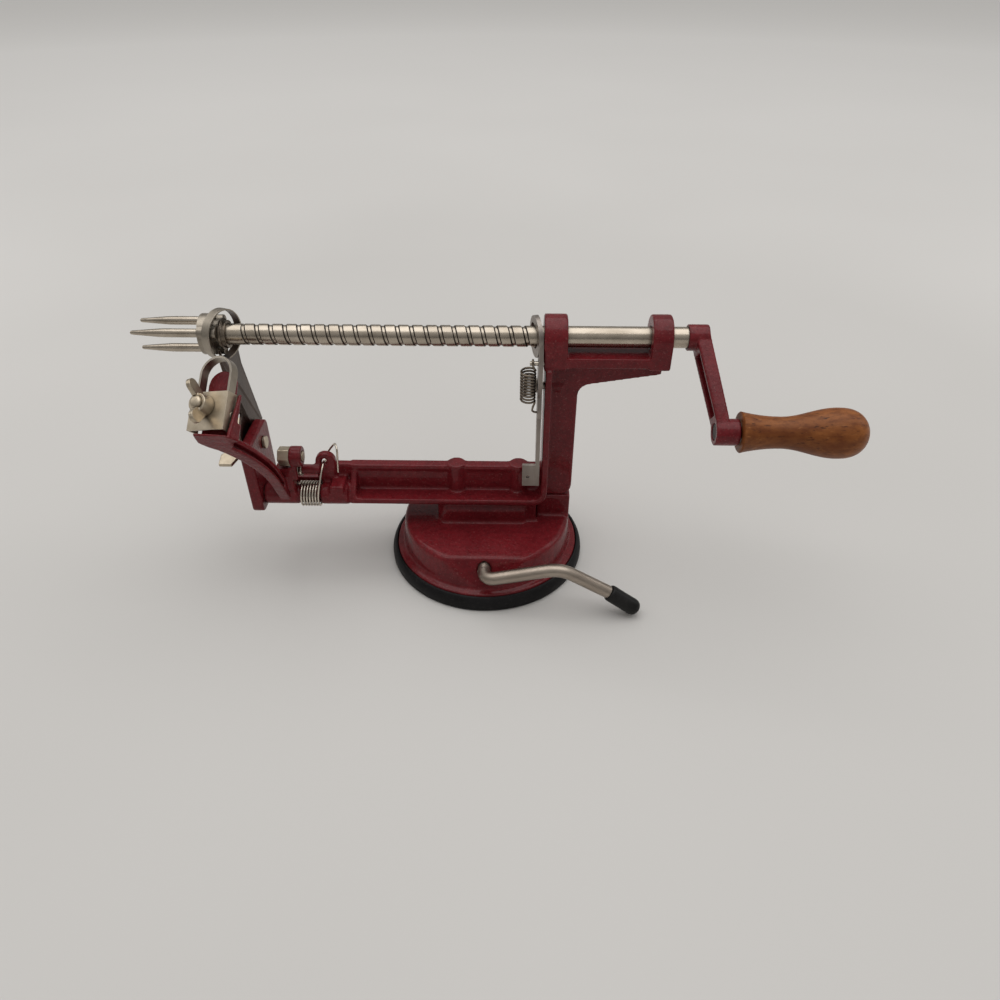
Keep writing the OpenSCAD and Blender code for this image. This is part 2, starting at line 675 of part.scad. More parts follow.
// Turned handle: a waist near the crank and a bulge near the end, as one smooth curve.
handle_rings = 26;
function handle_r(u) = let (end_r = 9.3, waist_r = 7.1, bulge_r = 11.3, waist = 0.32, bulge = 0.76)
    u < waist ? waist_r + (end_r - waist_r) * pow(1 - u / waist, 2)
    : u < bulge ? waist_r + (bulge_r - waist_r) * (1 - cos(180 * (u - waist) / (bulge - waist))) / 2
    : bulge_r * sqrt(max(0, 1 - pow((u - bulge) / (1 - bulge), 2.6)));
module handle() {
    color(wood) difference() {
        translate([handle_x, crank_y, crank_z]) rotate([0, 90, 0]) rotate_extrude($fn = 40) polygon(concat(
            [[0, 0], [handle_r(0) - 0.8, 0]],
            [for (i = [0:handle_rings]) let (u = i == 0 ? 0.012 : i / handle_rings)
                [i == handle_rings ? 0 : handle_r(u), u * handle_len]]));
        along_x(handle_pin_d + 2 * run_gap, handle_x - 1, pin_right + clear_gap, crank_y, crank_z);
    }
}

// Release lever: plate with a tooth in the shaft's groove, pushed at the flap below.
plate_ring_r = 9.5;
// The ring leans with the groove: its far side lies further left.
plate_turn = 12;
tooth_reach = 0.62;
release_swing = 4.5;
flap_z = [49, 61.4];
hook_ear_z = release_z - 9;
hook_ear_y = release_coil_y - 2.3;
module release_lever() {
    hole_r = shaft_d / 2 + 0.7;
    hole_travel = (shaft_z - release_z) * sin(release_swing) + 0.1;
    neck_front = -12.4;
    // The spring's pin stands in a slot that leaves room for the plate's swing.
    pin_room = spring_pin_d / 2 + 0.4;
    neck_travel = (spring_pin_z - release_z) * sin(release_swing);
    neck_drop = -spring_pin_y * sin(release_swing) + 0.2;
    color(steel) {
        difference() {
            union() {
                translate([plate_x, -plate_ring_r, 0]) rotate([0, 0, plate_turn])
                    translate([-plate_x, plate_ring_r, 0])
                    along_x(2 * plate_ring_r, plate_x, plate_x + plate_t, 0, shaft_z);
                plate_x(plate_x, plate_t, [[-9, shaft_z], [neck_front, shaft_z - 6.6],
                    [neck_front, release_z + 7], [-9, release_z - 2], [hook_ear_y, release_z - 7],
                    [hook_ear_y, release_z - 11.5], [-9, release_z - 13],
                    [flap_front, 78], [flap_front, flap_z[0]], [-7.6, flap_z[0]], [-7.6, 58], [-3, 68],
                    [0, release_z - 16], [5, release_z - 6],
                    [5, shaft_z]]);
            }
            for (y = [0, hole_travel]) along_x(2 * hole_r, plate_x - 6, plate_x + plate_t + 1, y, shaft_z);
            block([plate_x - 6, 0, shaft_z - hole_r], [plate_x + plate_t + 1, hole_travel, shaft_z + hole_r]);
            block([plate_x - 2, spring_pin_y - pin_room, spring_pin_z - pin_room],
                [plate_x + plate_t + 1, spring_pin_y + pin_room + neck_travel,
                    spring_pin_z + pin_room + neck_drop]);
            along_x(release_pin_d + 2 * run_gap, plate_x - 1, plate_x + plate_t + 1, 0, release_z);
            along_x(release_wire + 1.2, plate_x - 1, plate_x + plate_t + 1, release_coil_y, hook_ear_z);
        }
        // Tooth of the half nut.
        block([tooth_x - 0.7, -hole_r - 0.8, shaft_z - 1],
            [tooth_x + 0.7, -shaft_d / 2 + tooth_reach, shaft_z + 1]);
        // Flap that faces the user.
        difference() {
            block([plate_x + plate_t - flap_w, flap_front, flap_z[0]],
                [plate_x + plate_t, flap_front + 1.6, flap_z[1]]);
            along_y(1.6, flap_front - 1, flap_front + 3, plate_x + plate_t - flap_w + 2.8, flap_z[0] + 5.4);
        }
    }
}

module release_screw() {
    color(steel) {
        along_x(release_pin_d, plate_x - 0.6, upright_x + 7, 0, release_z);
        along_x(7, plate_x - 2.4, plate_x - 0.2, 0, release_z);
    }
}

module spring_pin() {
    color(steel) along_x(spring_pin_d, hook_x - 1.4, head_left_x + 4.5, spring_pin_y, spring_pin_z);
}

// Extension spring: hook over the pin, coil, hook through the plate's ear.
release_coil_x = plate_x - 4.6;
release_coil_z = hook_ear_z + 6.4;
coil_top = release_coil_z + release_coil_pitch * release_coil_turns;
hook_r = (spring_pin_d + release_wire) / 2 + 0.05;
hook_x = release_coil_x + 2;
release_path = concat(
    [[plate_x + 1.2, release_coil_y, hook_ear_z], [plate_x, release_coil_y, hook_ear_z],
     [plate_x - 1.5, release_coil_y, hook_ear_z + 0.1], [release_coil_x + 2.2, release_coil_y, hook_ear_z + 1]],
    [[release_coil_x + release_coil_r, release_coil_y - 0.1, release_coil_z - 1.6]],
    [for (i = [0:8 * release_coil_turns]) let (a = -360 * i / 8)
        [release_coil_x + release_coil_r * cos(a), release_coil_y + release_coil_r * sin(a),
         release_coil_z + release_coil_pitch * i / 8]],
    [[release_coil_x + release_coil_r - 0.4, release_coil_y - 1.3, coil_top + 1],
     [hook_x + 0.3, release_coil_y - hook_r, coil_top + 2.4]],
    [for (a = [180:-36:0]) [hook_x, spring_pin_y + hook_r * cos(a), spring_pin_z + hook_r * sin(a)]],
    [[hook_x, spring_pin_y + hook_r, spring_pin_z - release_wire]]);
module release_spring() {
    color(steel) wire(release_path, release_wire, [0, 0, 1]);
}

// Peeling arm: hub on the pivot, channel beam, ledge and plate for the blade holder.
arm_right = -95.6;
arm_left = post_x + post_t + end_gap;
sleeve_right = pivot_boss_left - end_gap;
holder_at = [-119, -36, shaft_z - 18.8];
holder_turn = [-48.7, -11.5, -14.3];
stud_x = -1.5;
stud_z = 2;
beam_reach = [pivot_y - holder_at[1], holder_at[2] - pivot_z];
beam_long = norm(beam_reach) + 0.7;
beam_tilt = atan2(beam_reach[0], beam_reach[1]) + 6.4;
beam_front = 4.8;
beam_d = 6;
beam_head_d = 9;
beam_lip = 1.4;
beam_groove = 2.3;
beam_groove_depth = 3;
stop_y = boss_y - boss_d / 2 - 0.05;
screw_y = -10.6;
screw_z = 65.2;
screw_af = 8.6;
arm_lug_r = 5.2;
hex_len = 5.6;
hex_turn = 22;
arm_lug_right = -89.8;
arm_plate_w = 14;
arm_plate_top = 13.7;

module in_holder() {
    translate(holder_at) rotate(holder_turn) children();
}

// Curved channel beam. Its outline lies in X and along the arm, and its recess faces the front.
// Each side starts upright and bends left along an arc that ends at the given place.
beam_left = [arm_right - 8.7, 22];
beam_left_end = [holder_at[0] + 2, beam_long - 14.6];
beam_right = [arm_right - 3.3, 25];
beam_right_end = [holder_at[0] + 8.9, beam_long - 12.5];
function bend_r(a, b) = (pow(a[0] - b[0], 2) + pow(a[1] - b[1], 2)) / (2 * (a[0] - b[0]));
function bend(a, b, side, share = 1, n = 8) = let (r = bend_r(a, b))
    arc(a[0] - r, a[1], r + side, 0, share * asin((b[1] - a[1]) / r), n);
function turned(p) = [for (i = [len(p) - 1:-1:0]) p[i]];

module beam() {
    ledge_left = holder_at[0] - 4;
    ledge_right = holder_at[0] + 10.6;
    translate([0, pivot_y, pivot_z]) rotate([beam_tilt, 0, 0]) {
        difference() {
            plate_y(-beam_front, beam_d, concat([[beam_left[0], -2]], bend(beam_left, beam_left_end, 0),
                [[ledge_left + 2.5, beam_long - 11.6], [ledge_right, beam_long - 10]],
                turned(bend(beam_right, beam_right_end, 0)), [[beam_right[0], -2]]));
            plate_y(-beam_front + beam_lip, beam_groove, concat([[beam_right[0] - beam_groove_depth, 14]],
                bend(beam_right, beam_right_end, -beam_groove_depth),
                turned(bend(beam_right, beam_right_end, 4)), [[beam_right[0] + 4, 14]]));
        }
        // Ledge under the holder.
        plate_y(-beam_front, beam_head_d, [beam_left_end, [ledge_left + 2.5, beam_long - 11.6],
            [ledge_left - 0.4, beam_long - 7.6], [ledge_left, beam_long], [ledge_right, beam_long],
            [ledge_right, beam_long - 10], beam_right_end, [beam_right_end[0] - 2, beam_right_end[1] - 4]]);
    }
}

module peel_arm() {
    back = holder_depth;
    rib_x = holder_w / 2 + clear_gap;
    ledge_gap = 2.6;
    color(red) difference() {
        union() {
            along_x(hub_d, arm_left, arm_right, pivot_y, pivot_z);
            along_x(sleeve_d, arm_right - 1, sleeve_right, pivot_y, pivot_z);
            // Root with the stem that stops on the frame's spigot.
            block([arm_right - 9.4, pivot_y - hub_d / 2 + 0.5, pivot_z],
                [arm_right - 0.4, pivot_y + hub_d / 2 - 0.8, pivot_z + 8.4]);
            block([arm_right - 8.4, stop_y - 6, pivot_z + 6],
                [arm_right - 0.2, stop_y, screw_z - screw_af / cos(30) / 2 - 0.6]);
            along_x(2 * arm_lug_r, arm_right, arm_lug_right, screw_y, screw_z);
            block([arm_right - 1.5, stop_y - 6, screw_z - 12], [arm_right + 2.4, stop_y - 3.2, screw_z - 2.4]);
            difference() {
                beam();
                in_holder() block([-40, -30, -holder_h / 2 - ledge_gap], [40, back + 0.1, 60]);
            }
            in_holder() {
                block([-arm_plate_w / 2, back, -11], [arm_plate_w / 2, back + 3, arm_plate_top]);
                along_y(arm_plate_w, back, back + 3, 0, arm_plate_top);
                plate_x(rib_x, 1.7, [[back + 0.6, -12], [2.2, -12], [2.2, -9.5],
                    [back - 0.4, 9], [back + 0.6, 9]]);
                block([0, back, -12], [rib_x + 1.7, back + 3, -4]);
            }
        }
        along_x(pivot_d + 2 * run_gap, arm_left - 1, sleeve_right + 1, pivot_y, pivot_z);
        along_x(torsion_wire + 0.5, arm_right - 3.6, arm_right + 0.1, pivot_y, pivot_z + torsion_r);
        along_x(screw_d + 1, arm_right - 1, arm_lug_right + 1, screw_y, screw_z);
        along_x(screw_af / cos(30) + 2 * clear_gap, arm_right - hex_len - clear_gap, arm_right, screw_y, screw_z);
        in_holder() along_y(stud_d, back - 1, back + 4, stud_x, stud_z);
    }
}

module arm_pivot() {
    color(steel) along_x(pivot_d, post_x + 0.2, bar_left - 3.4, pivot_y, pivot_z);
}

// Torsion spring: axial leg in the arm, coil round the sleeve, hook through the frame's lug.
torsion_end = torsion_left + torsion_pitch * torsion_turns;
torsion_path = concat(
    [[torsion_left - 4.2, pivot_y, pivot_z + torsion_r], [torsion_left - 2, pivot_y, pivot_z + torsion_r],
     [torsion_left - 0.7, pivot_y, pivot_z + torsion_r]],
    [for (i = [0:8 * torsion_turns]) let (a = 90 - 360 * i / 8)
        [torsion_left + torsion_pitch * i / 8, pivot_y + torsion_r * cos(a), pivot_z + torsion_r * sin(a)]],
    [[torsion_end + 0.5, pivot_y - torsion_r + 0.2, pivot_z + 4], [lug_hole_x - 1.4, pivot_y - 4.6, pivot_z + 10],
     [lug_hole_x - 0.5, pivot_y - 1.5, pivot_z + 14.6], [lug_hole_x, lug_front - 1.6, lug_hole_z + 0.9],
     [lug_hole_x, lug_front + 1, lug_hole_z + 0.5], [lug_hole_x, lug_front + lug_t - 0.4, lug_hole_z - 0.4],
     [lug_hole_x + 0.3, lug_front + lug_t + 1.1, lug_z + 0.2],
     [lug_hole_x + 1.6, lug_front + lug_t + 1.7, lug_z + 3],
     [lug_x + 4, lug_front + lug_t + 1.4, lug_z + 7], [lug_x + 5.4, lug_front + lug_t - 0.4, lug_z + 9],
     [lug_x + 6.6, lug_front + 1, lug_z + 9.5], [lug_x + 7.3, lug_front - 0.9, lug_z + 8.4],
     [lug_x + 7.2, lug_front - 1.5, lug_z + 5.6], [lug_x + 6.5, lug_front - 1.9, lug_z - 4.4]]);
module torsion_spring() {
    color(steel) wire(torsion_path, torsion_wire, [0, 1, 0]);
}

module hex_x(af, x0, x1, y, z) {
    translate([x0, y, z]) rotate([hex_turn, 0, 0]) rotate([0, 90, 0])
        cylinder(d = af / cos(30), h = x1 - x0, $fn = 6);
}

module stop_screw() {
    color(steel) {
        along_x(screw_d + 1, arm_right - 1, arm_lug_right + 0.6, screw_y, screw_z);
        hex_x(screw_af, arm_right - hex_len, arm_right, screw_y, screw_z);
    }
}

// Two rings on the spigot that the arm stops against.
module stop_rings() {
    color(steel) for (x = [arm_right + 0.3, arm_right + 1.9]) difference() {
        along_x(6.8, x, x + 1.2, boss_y, boss_z);
        along_x(boss_d, x - 1, x + 3, boss_y, boss_z);
    }
}

// Blade holder: folded channel, open above and below, clamped by one stud and a wing nut.
module blade_holder() {
    color(steel) in_holder() difference() {
        block([-holder_w / 2, 0, -holder_h / 2], [holder_w / 2, holder_depth, holder_h / 2]);
        block([-holder_w / 2 + holder_t, holder_t, -holder_h],
            [holder_w / 2 - holder_t, holder_depth + 1, holder_h]);
        along_y(stud_d, -1, holder_t + 1, stud_x, stud_z);
        for (s = [-1, 1]) along_x(rivet_d, s > 0 ? 5 : -12, s > 0 ? 12 : -5, rivet_y, rivet_z);
    }
}
rivet_d = 2;
rivet_head_d = 2.8;
rivet_y = 4.6;
rivet_z = -1;
blade_w = holder_w - 2 * holder_t - 0.1;

module strap(w, y0, y1, z0, top) {
    r = w / 2;
    plate_y(y0, y1 - y0, concat([[-r, z0]], arc(0, top - r, r, 180, 0, 16), [[r, z0]]));
}

module peel_blade() {
    y0 = holder_t + 0.5;
    color(steel) in_holder() difference() {
        strap(blade_w, y0, y0 + blade_breadth, -6, blade_top);
        strap(blade_w - 2 * blade_t, y0 - 1, y0 + blade_breadth + 1, -7, blade_top - blade_t);
        for (s = [-1, 1]) along_x(rivet_d, s > 0 ? 5 : -12, s > 0 ? 12 : -5, rivet_y, rivet_z);
    }
}

module holder_rivets() {
    in_x = blade_w / 2 - blade_t;
    color(steel) in_holder() for (s = [-1, 1]) scale([s, 1, 1]) {
        along_x(rivet_d, in_x, holder_w / 2, rivet_y, rivet_z);
        along_x(rivet_head_d, holder_w / 2, holder_w / 2 + 0.25, rivet_y, rivet_z);
        along_x(rivet_head_d, in_x - 0.6, in_x, rivet_y, rivet_z);
    }
}

module holder_stud() {
    color(steel) in_holder() {
        along_y(stud_d, -8.4, holder_depth + 3, stud_x, stud_z);
        along_y(stud_d + 3.4, holder_depth + 3, holder_depth + 4.6, stud_x, stud_z);
        along_y(stud_d + 3, holder_t, holder_depth, stud_x, stud_z);
    }
}

// Wing nut about local Z: hub above the face, two wings that lean outwards.
module wing_nut(bore, hub_d1, hub_d2, h, reach, square = false) {
    difference() {
        union() {
            cylinder(d1 = hub_d1, d2 = hub_d2, h = h);
            for (s = [0, 180]) rotate([0, 0, s]) translate([0, 1, 0]) rotate([90, 0, 0]) linear_extrude(2)
                polygon(concat([[1, 1], [hub_d1 / 2, 0.8]],
                    square ? [[reach + 0.6, h + 1], [reach + 0.6, h + 7.4], [reach - 5.4, h + 7.4]] :
                    arc(reach - 2.6, h + 1.8, 3, -60, 150, 8), [[1, h - 0.6]]));
        }
        translate([0, 0, -1]) cylinder(d = bore, h = h + 12);
    }
}

stud_nut_d = stud_d + 4.5;
stud_nut_h = 5.4;
stud_wing_reach = stud_nut_d / 2 + 5;
module blade_wing_nut() {
    color(steel) in_holder() translate([stud_x, -0.05, stud_z]) rotate([90, 0, 0]) rotate([0, 0, 106])
        wing_nut(stud_d + 2 * run_gap, stud_nut_d, stud_nut_d - 1.6, stud_nut_h, stud_wing_reach);
}

// Corer ring and slicing blade in one stamping, clamped on the post's left face.
ring_r = prong_r + lobe_d / 2 + ring_gap + ring_t;
ring_right = post_x + 1.3;
ring_left = ring_right - ring_len - 1.7;
rim_lean = 10;
rim_turn = -9;
rim_room = 4 * ring_r;
slicer_x = post_x - slicer_t;
slicer_edge = [[-ring_r + 0.5, shaft_z - 3], [-4.4, shaft_z - 28], [3, slicer_bolt_z + 16],
    [slicer_bolt_y - 12, slicer_bolt_z + 12.6], [slicer_bolt_y - 12, slicer_bolt_z - 8.4],
    [slicer_bolt_y - 8, slicer_bolt_z - 10.4], [16, slicer_bolt_z - 10.4], [24, slicer_bolt_z + 1.6],
    [ring_r - 1, shaft_z - 20], [ring_r - 0.6, shaft_z]];
module corer_slicer() {
    color(steel) difference() {
        union() {
            difference() {
                along_x(2 * ring_r, ring_left, ring_left + 2 * ring_len, 0, shaft_z);
                // The right rim slants, so the band is widest at the top and the back.
                translate([ring_right, 0, shaft_z]) rotate([0, rim_lean, rim_turn])
                    block([0, -rim_room / 2, -rim_room / 2], [rim_room, rim_room / 2, rim_room / 2]);
            }
            plate_x(slicer_x, slicer_t, slicer_edge);
        }
        along_x(2 * (ring_r - ring_t), ring_left - 1, ring_left + 3 * ring_len, 0, shaft_z);
        along_x(slicer_bolt_d, slicer_x - 1, post_x + 1, slicer_bolt_y, slicer_bolt_z);
    }
}

module slicer_bolt() {
    color(steel) {
        along_x(slicer_bolt_d, slicer_x - 8.4, post_x + post_t + 0.2, slicer_bolt_y, slicer_bolt_z);
        along_x(slicer_bolt_d + 1.4, post_x + post_t, post_x + post_t + 1.6, slicer_bolt_y, slicer_bolt_z);
    }
}

slicer_nut_d = slicer_bolt_d + 4.6;
slicer_nut_h = 5;
slicer_wing_reach = slicer_nut_d / 2 + 9.8;
module slicer_wing_nut() {
    color(steel) translate([slicer_x - 0.05, slicer_bolt_y, slicer_bolt_z]) rotate([0, -90, 0]) rotate([0, 0, 72])
        wing_nut(slicer_bolt_d + 2 * run_gap, slicer_nut_d, slicer_nut_d - 1.6,
            slicer_nut_h, slicer_wing_reach, true);
}

echo(torsion_self_gap = self_gap(torsion_path, torsion_wire, 5));
echo(release_self_gap = self_gap(release_path, release_wire, 5));

frame();
base_cover();
suction_cup();
suction_stud();
frame_screws();
vacuum_lever();
lever_grip();
drive_shaft();
stop_washer();
fork_hub();
fork_prongs();
crank_arm();
handle_pin();
handle();
release_lever();
release_screw();
release_spring();
spring_pin();
peel_arm();
arm_pivot();
torsion_spring();
stop_screw();
stop_rings();
blade_holder();
peel_blade();
holder_rivets();
holder_stud();
blade_wing_nut();
corer_slicer();
slicer_bolt();
slicer_wing_nut();
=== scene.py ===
"""Looks of a hand cranked apple peeler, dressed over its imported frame. Lengths are in metres."""
import json
import math

import bmesh
import bpy
from mathutils import Matrix, Vector


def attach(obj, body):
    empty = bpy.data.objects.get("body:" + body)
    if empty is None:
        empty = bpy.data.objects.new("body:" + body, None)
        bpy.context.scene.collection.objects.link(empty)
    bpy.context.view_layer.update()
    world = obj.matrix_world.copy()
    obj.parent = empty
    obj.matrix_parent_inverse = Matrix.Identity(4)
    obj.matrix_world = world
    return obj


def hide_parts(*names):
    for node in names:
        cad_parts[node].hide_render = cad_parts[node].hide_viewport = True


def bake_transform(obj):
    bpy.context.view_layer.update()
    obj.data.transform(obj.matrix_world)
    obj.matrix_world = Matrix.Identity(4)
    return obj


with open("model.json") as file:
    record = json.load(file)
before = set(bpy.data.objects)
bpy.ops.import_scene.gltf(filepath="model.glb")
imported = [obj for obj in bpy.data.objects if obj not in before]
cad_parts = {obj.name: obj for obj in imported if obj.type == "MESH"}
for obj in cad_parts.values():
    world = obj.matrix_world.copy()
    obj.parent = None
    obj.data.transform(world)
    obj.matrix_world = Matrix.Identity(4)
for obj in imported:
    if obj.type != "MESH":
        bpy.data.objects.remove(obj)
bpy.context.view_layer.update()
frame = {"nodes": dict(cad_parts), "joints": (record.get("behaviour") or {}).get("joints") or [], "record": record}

MM = 0.001
WELD = 0.001 * MM
RECORD = frame["record"]
BODY_OF = {n: body for body, nodes in RECORD["behaviour"]["bodies"].items() for n in nodes}
SLOT_OF = {part["node"]: part["material_slot"] for part in RECORD["subparts"]}
JOINT = {joint["name"]: joint for joint in frame["joints"]}
X_AXIS, Y_AXIS, Z_AXIS = Vector((1, 0, 0)), Vector((0, 1, 0)), Vector((0, 0, 1))


def mm(*values):
    """A point given in millimetres."""
    return Vector(values) * MM


def turn(degrees, axis):
    """A rotation matrix from degrees."""
    return Matrix.Rotation(math.radians(degrees), 4, axis)


# Places taken from the frame.
SHAFT_Z = JOINT["crank_turn"]["pos_m"][2]
HANDLE_AXIS = Vector(JOINT["handle_spin"]["pos_m"])
PIVOT = Vector(JOINT["arm_swing"]["pos_m"])

# Where the blade holder sits on the arm, and how it is turned.
HOLDER_AT, HOLDER_YAW, HOLDER_ROLL, HOLDER_TILT = mm(-119, -36, 106.2), -14.3, -11.5, -48.7
HOLDER_PLACE = (Matrix.Translation(HOLDER_AT)
                @ turn(HOLDER_YAW, "Z") @ turn(HOLDER_ROLL, "Y") @ turn(HOLDER_TILT, "X"))

# The photograph's camera, and the studio round the part.
CAMERA_AT, CAMERA_TILT, CAMERA_YAW = mm(12.8, -318.6, 277.3), 52.32, 1.01
SENSOR_WIDTH, LENS = 36, 27.44
SOFTBOXES = (("top_softbox", (0.05, 0.25, 1.7), (0, 0.1, 0), 2.4, 2.0, 20),
             ("left_softbox", (-0.9, 0.2, 0.6), (0, 0, 0.08), 0.4, 0.5, 0.8),
             ("right_softbox", (0.95, 0.2, 0.6), (0, 0, 0.08), 0.4, 0.5, 0.8))
SKY_LOW, SKY_HIGH, SKY_STRENGTH = (0.20, 0.195, 0.19, 1), (0.86, 0.85, 0.83, 1), 0.7
FLOOR_HALF = 12


# Camera, light and floor.
def add_camera():
    """A wide lens close above the front, as the photograph was taken."""
    data = bpy.data.cameras.new("camera")
    data.sensor_width = SENSOR_WIDTH
    data.lens = LENS
    data.clip_start = 0.01
    camera = bpy.data.objects.new("camera", data)
    camera.location = CAMERA_AT
    camera.rotation_euler = (math.radians(CAMERA_TILT), 0, math.radians(CAMERA_YAW))
    bpy.context.scene.collection.objects.link(camera)
    bpy.context.scene.camera = camera


def add_softbox(name, place, aim, width, depth, power):
    """One rectangular lamp that points at a spot."""
    data = bpy.data.lights.new(name, "AREA")
    data.shape = "RECTANGLE"
    data.size, data.size_y, data.energy = width, depth, power
    lamp = bpy.data.objects.new(name, data)
    lamp.location = place
    lamp.rotation_euler = (Vector(aim) - Vector(place)).to_track_quat("-Z", "Y").to_euler()
    bpy.context.scene.collection.objects.link(lamp)


def add_studio():
    """Soft lamps above and to the sides, a world that is brighter overhead, and a pale floor."""
    for name, place, aim, width, depth, power in SOFTBOXES:
        add_softbox(name, place, aim, width, depth, power)
    world = bpy.data.worlds.new("studio")
    bpy.context.scene.world = world
    world.use_nodes = True
    sky = Shader(world.node_tree)
    height = sky.add("SeparateXYZ", None, Vector=sky.add("TexCoord").outputs["Generated"]).outputs["Z"]
    light = world.node_tree.nodes["Background"]
    sky.feed(light.inputs["Color"], sky.mix(sky.ramp(height, 0.0, 0.9), SKY_LOW, SKY_HIGH))
    light.inputs["Strength"].default_value = SKY_STRENGTH
    bm = bmesh.new()
    bmesh.ops.create_grid(bm, x_segments=2, y_segments=2, size=FLOOR_HALF)
    mesh = bpy.data.meshes.new("floor")
    bm.to_mesh(mesh)
    bm.free()
    floor = bpy.data.objects.new("floor", mesh)
    mesh.materials.append(floor_paper())
    bpy.context.scene.collection.objects.link(floor)
    view = bpy.context.scene.view_settings
    view.view_transform = "Standard"


# Shader helpers.
class Shader:
    """Adds and links nodes in one node tree."""

    def __init__(self, tree):
        self.tree = tree

    def add(self, kind, settings=None, **inputs):
        """A node of a kind. Inputs are values or sockets, with _ for a space in a socket's name."""
        node = self.tree.nodes.new("ShaderNode" + kind)
        for key, value in (settings or {}).items():
            setattr(node, key, value)
        for key, value in inputs.items():
            self.feed(node.inputs[key.replace("_", " ")], value)
        return node

    def feed(self, socket, value):
        """Links a socket to the value, or sets it."""
        if isinstance(value, bpy.types.NodeSocket):
            self.tree.links.new(value, socket)
        else:
            socket.default_value = value

    def math(self, operation, a, b):
        node = self.add("Math", {"operation": operation})
        self.feed(node.inputs[0], a)
        self.feed(node.inputs[1], b)
        return node.outputs[0]

    def ramp(self, value, low, high, out_low=0.0, out_high=1.0):
        """Maps low to high onto the outputs, and holds past both ends."""
        node = self.add("MapRange", {"clamp": True}, Value=value)
        for key, number in (("From Min", low), ("From Max", high), ("To Min", out_low), ("To Max", out_high)):
            self.feed(node.inputs[key], number)
        return node.outputs["Result"]

    def mix(self, share, a, b):
        node = self.add("Mix", {"data_type": "RGBA"})
        self.feed(node.inputs["Factor"], share)
        self.feed(node.inputs["A"], a)
        self.feed(node.inputs["B"], b)
        return node.outputs["Result"]

    def tint(self, colour, mask, amount, towards):
        """A colour pulled towards another by an amount of a mask."""
        return self.mix(self.math("MULTIPLY", mask, amount), colour, towards)

    def noise(self, scale, detail=3.0, roughness=0.55, at=None):
        node = self.add("TexNoise", None, Scale=scale, Detail=detail, Roughness=roughness)
        if at is not None:
            self.feed(node.inputs["Vector"], at)
        return node.outputs["Fac"]

    def place(self, stretch=(1, 1, 1)):
        """Object coordinates, stretched."""
        where = self.add("TexCoord").outputs["Object"]
        node = self.add("Mapping", None, Vector=where, Scale=stretch)
        return node.outputs["Vector"]

    def group(self, tree, **inputs):
        """The outputs of a node group."""
        node = self.tree.nodes.new("ShaderNodeGroup")
        node.node_tree = tree
        for key, value in inputs.items():
            self.feed(node.inputs[key.replace("_", " ")], value)
        return node.outputs


def new_group(name, inputs, outputs):
    """An empty node group with named sockets, and its shader helper, input and output."""
    tree = bpy.data.node_groups.new(name, "ShaderNodeTree")
    for label, kind, default in inputs:
        socket = tree.interface.new_socket(label, in_out="INPUT", socket_type="NodeSocket" + kind)
        socket.default_value = default
    for label, kind in outputs:
        tree.interface.new_socket(label, in_out="OUTPUT", socket_type="NodeSocket" + kind)
    start = tree.nodes.new("NodeGroupInput")
    end = tree.nodes.new("NodeGroupOutput")
    return tree, Shader(tree), start.outputs, end.inputs


def make_edge_wear_and_highlight():
    """Edges, broken up by noise: a mask of where a finish has rubbed thin and where a painted highlight runs along
    an edge.
    """
    sockets = [("Radius", "Float", 0.6 * MM), ("Breakup", "Float", 900.0), ("Amount", "Float", 0.5)]
    tree, s, given, out = new_group("edge wear and highlight", sockets, [("Mask", "Float")])
    rounded = s.add("Bevel", {"samples": 6}, Radius=given["Radius"]).outputs["Normal"]
    flat = s.add("NewGeometry").outputs["Normal"]
    dot = s.add("VectorMath", {"operation": "DOT_PRODUCT"})
    s.feed(dot.inputs[0], rounded)
    s.feed(dot.inputs[1], flat)
    edge = s.ramp(dot.outputs["Value"], 0.995, 0.90)
    broken = s.ramp(s.noise(given["Breakup"], 4.0), 0.42, 0.62)
    s.feed(out["Mask"], s.math("MULTIPLY", s.math("MULTIPLY", edge, broken), given["Amount"]))
    return tree


def make_shade_and_grime():
    """Painted shade and dark dirt where surfaces meet, taken from ambient occlusion, patchy."""
    sockets = [("Distance", "Float", 3 * MM), ("Patches", "Float", 300.0), ("Amount", "Float", 0.6)]
    tree, s, given, out = new_group("shade_and_grime", sockets, [("Mask", "Float")])
    open_sky = s.add("AmbientOcclusion", {"samples": 6}, Distance=given["Distance"]).outputs["AO"]
    shut = s.ramp(open_sky, 0.9, 0.35)
    patches = s.ramp(s.noise(given["Patches"], 4.0), 0.3, 0.7, 0.45, 1.0)
    s.feed(out["Mask"], s.math("MULTIPLY", s.math("MULTIPLY", shut, patches), given["Amount"]))
    return tree


def make_scratches():
    """Fine lines drawn along one direction, for rolled, ground or turned metal."""
    sockets = [("Vector", "Vector", (0, 0, 0)), ("Scale", "Float", 4000.0)]
    tree, s, given, out = new_group("scratches", sockets, [("Lines", "Float"), ("Patches", "Float")])
    lines = s.noise(given["Scale"], 2.0, 0.6, given["Vector"])
    patches = s.noise(s.math("MULTIPLY", given["Scale"], 0.06), 4.0, 0.6, given["Vector"])
    s.feed(out["Lines"], lines)
    s.feed(out["Patches"], patches)
    return tree


EDGE_WEAR_AND_HIGHLIGHT, SHADE_AND_GRIME, SCRATCHES = make_edge_wear_and_highlight(), make_shade_and_grime(), make_scratches()


def new_material(name, **fixed):
    """A material with its Principled shader's plain values set."""
    material = bpy.data.materials.new(name)
    material.use_nodes = True
    shell = material.node_tree.nodes["Principled BSDF"]
    for key, value in fixed.items():
        shell.inputs[key.replace("_", " ")].default_value = value
    return material, Shader(material.node_tree), shell.inputs


def bump(s, surface, height, distance, strength):
    """Links a height to the shader's normal."""
    node = s.add("Bump", None, Height=height, Distance=distance, Strength=strength)
    s.feed(surface["Normal"], node.outputs["Normal"])


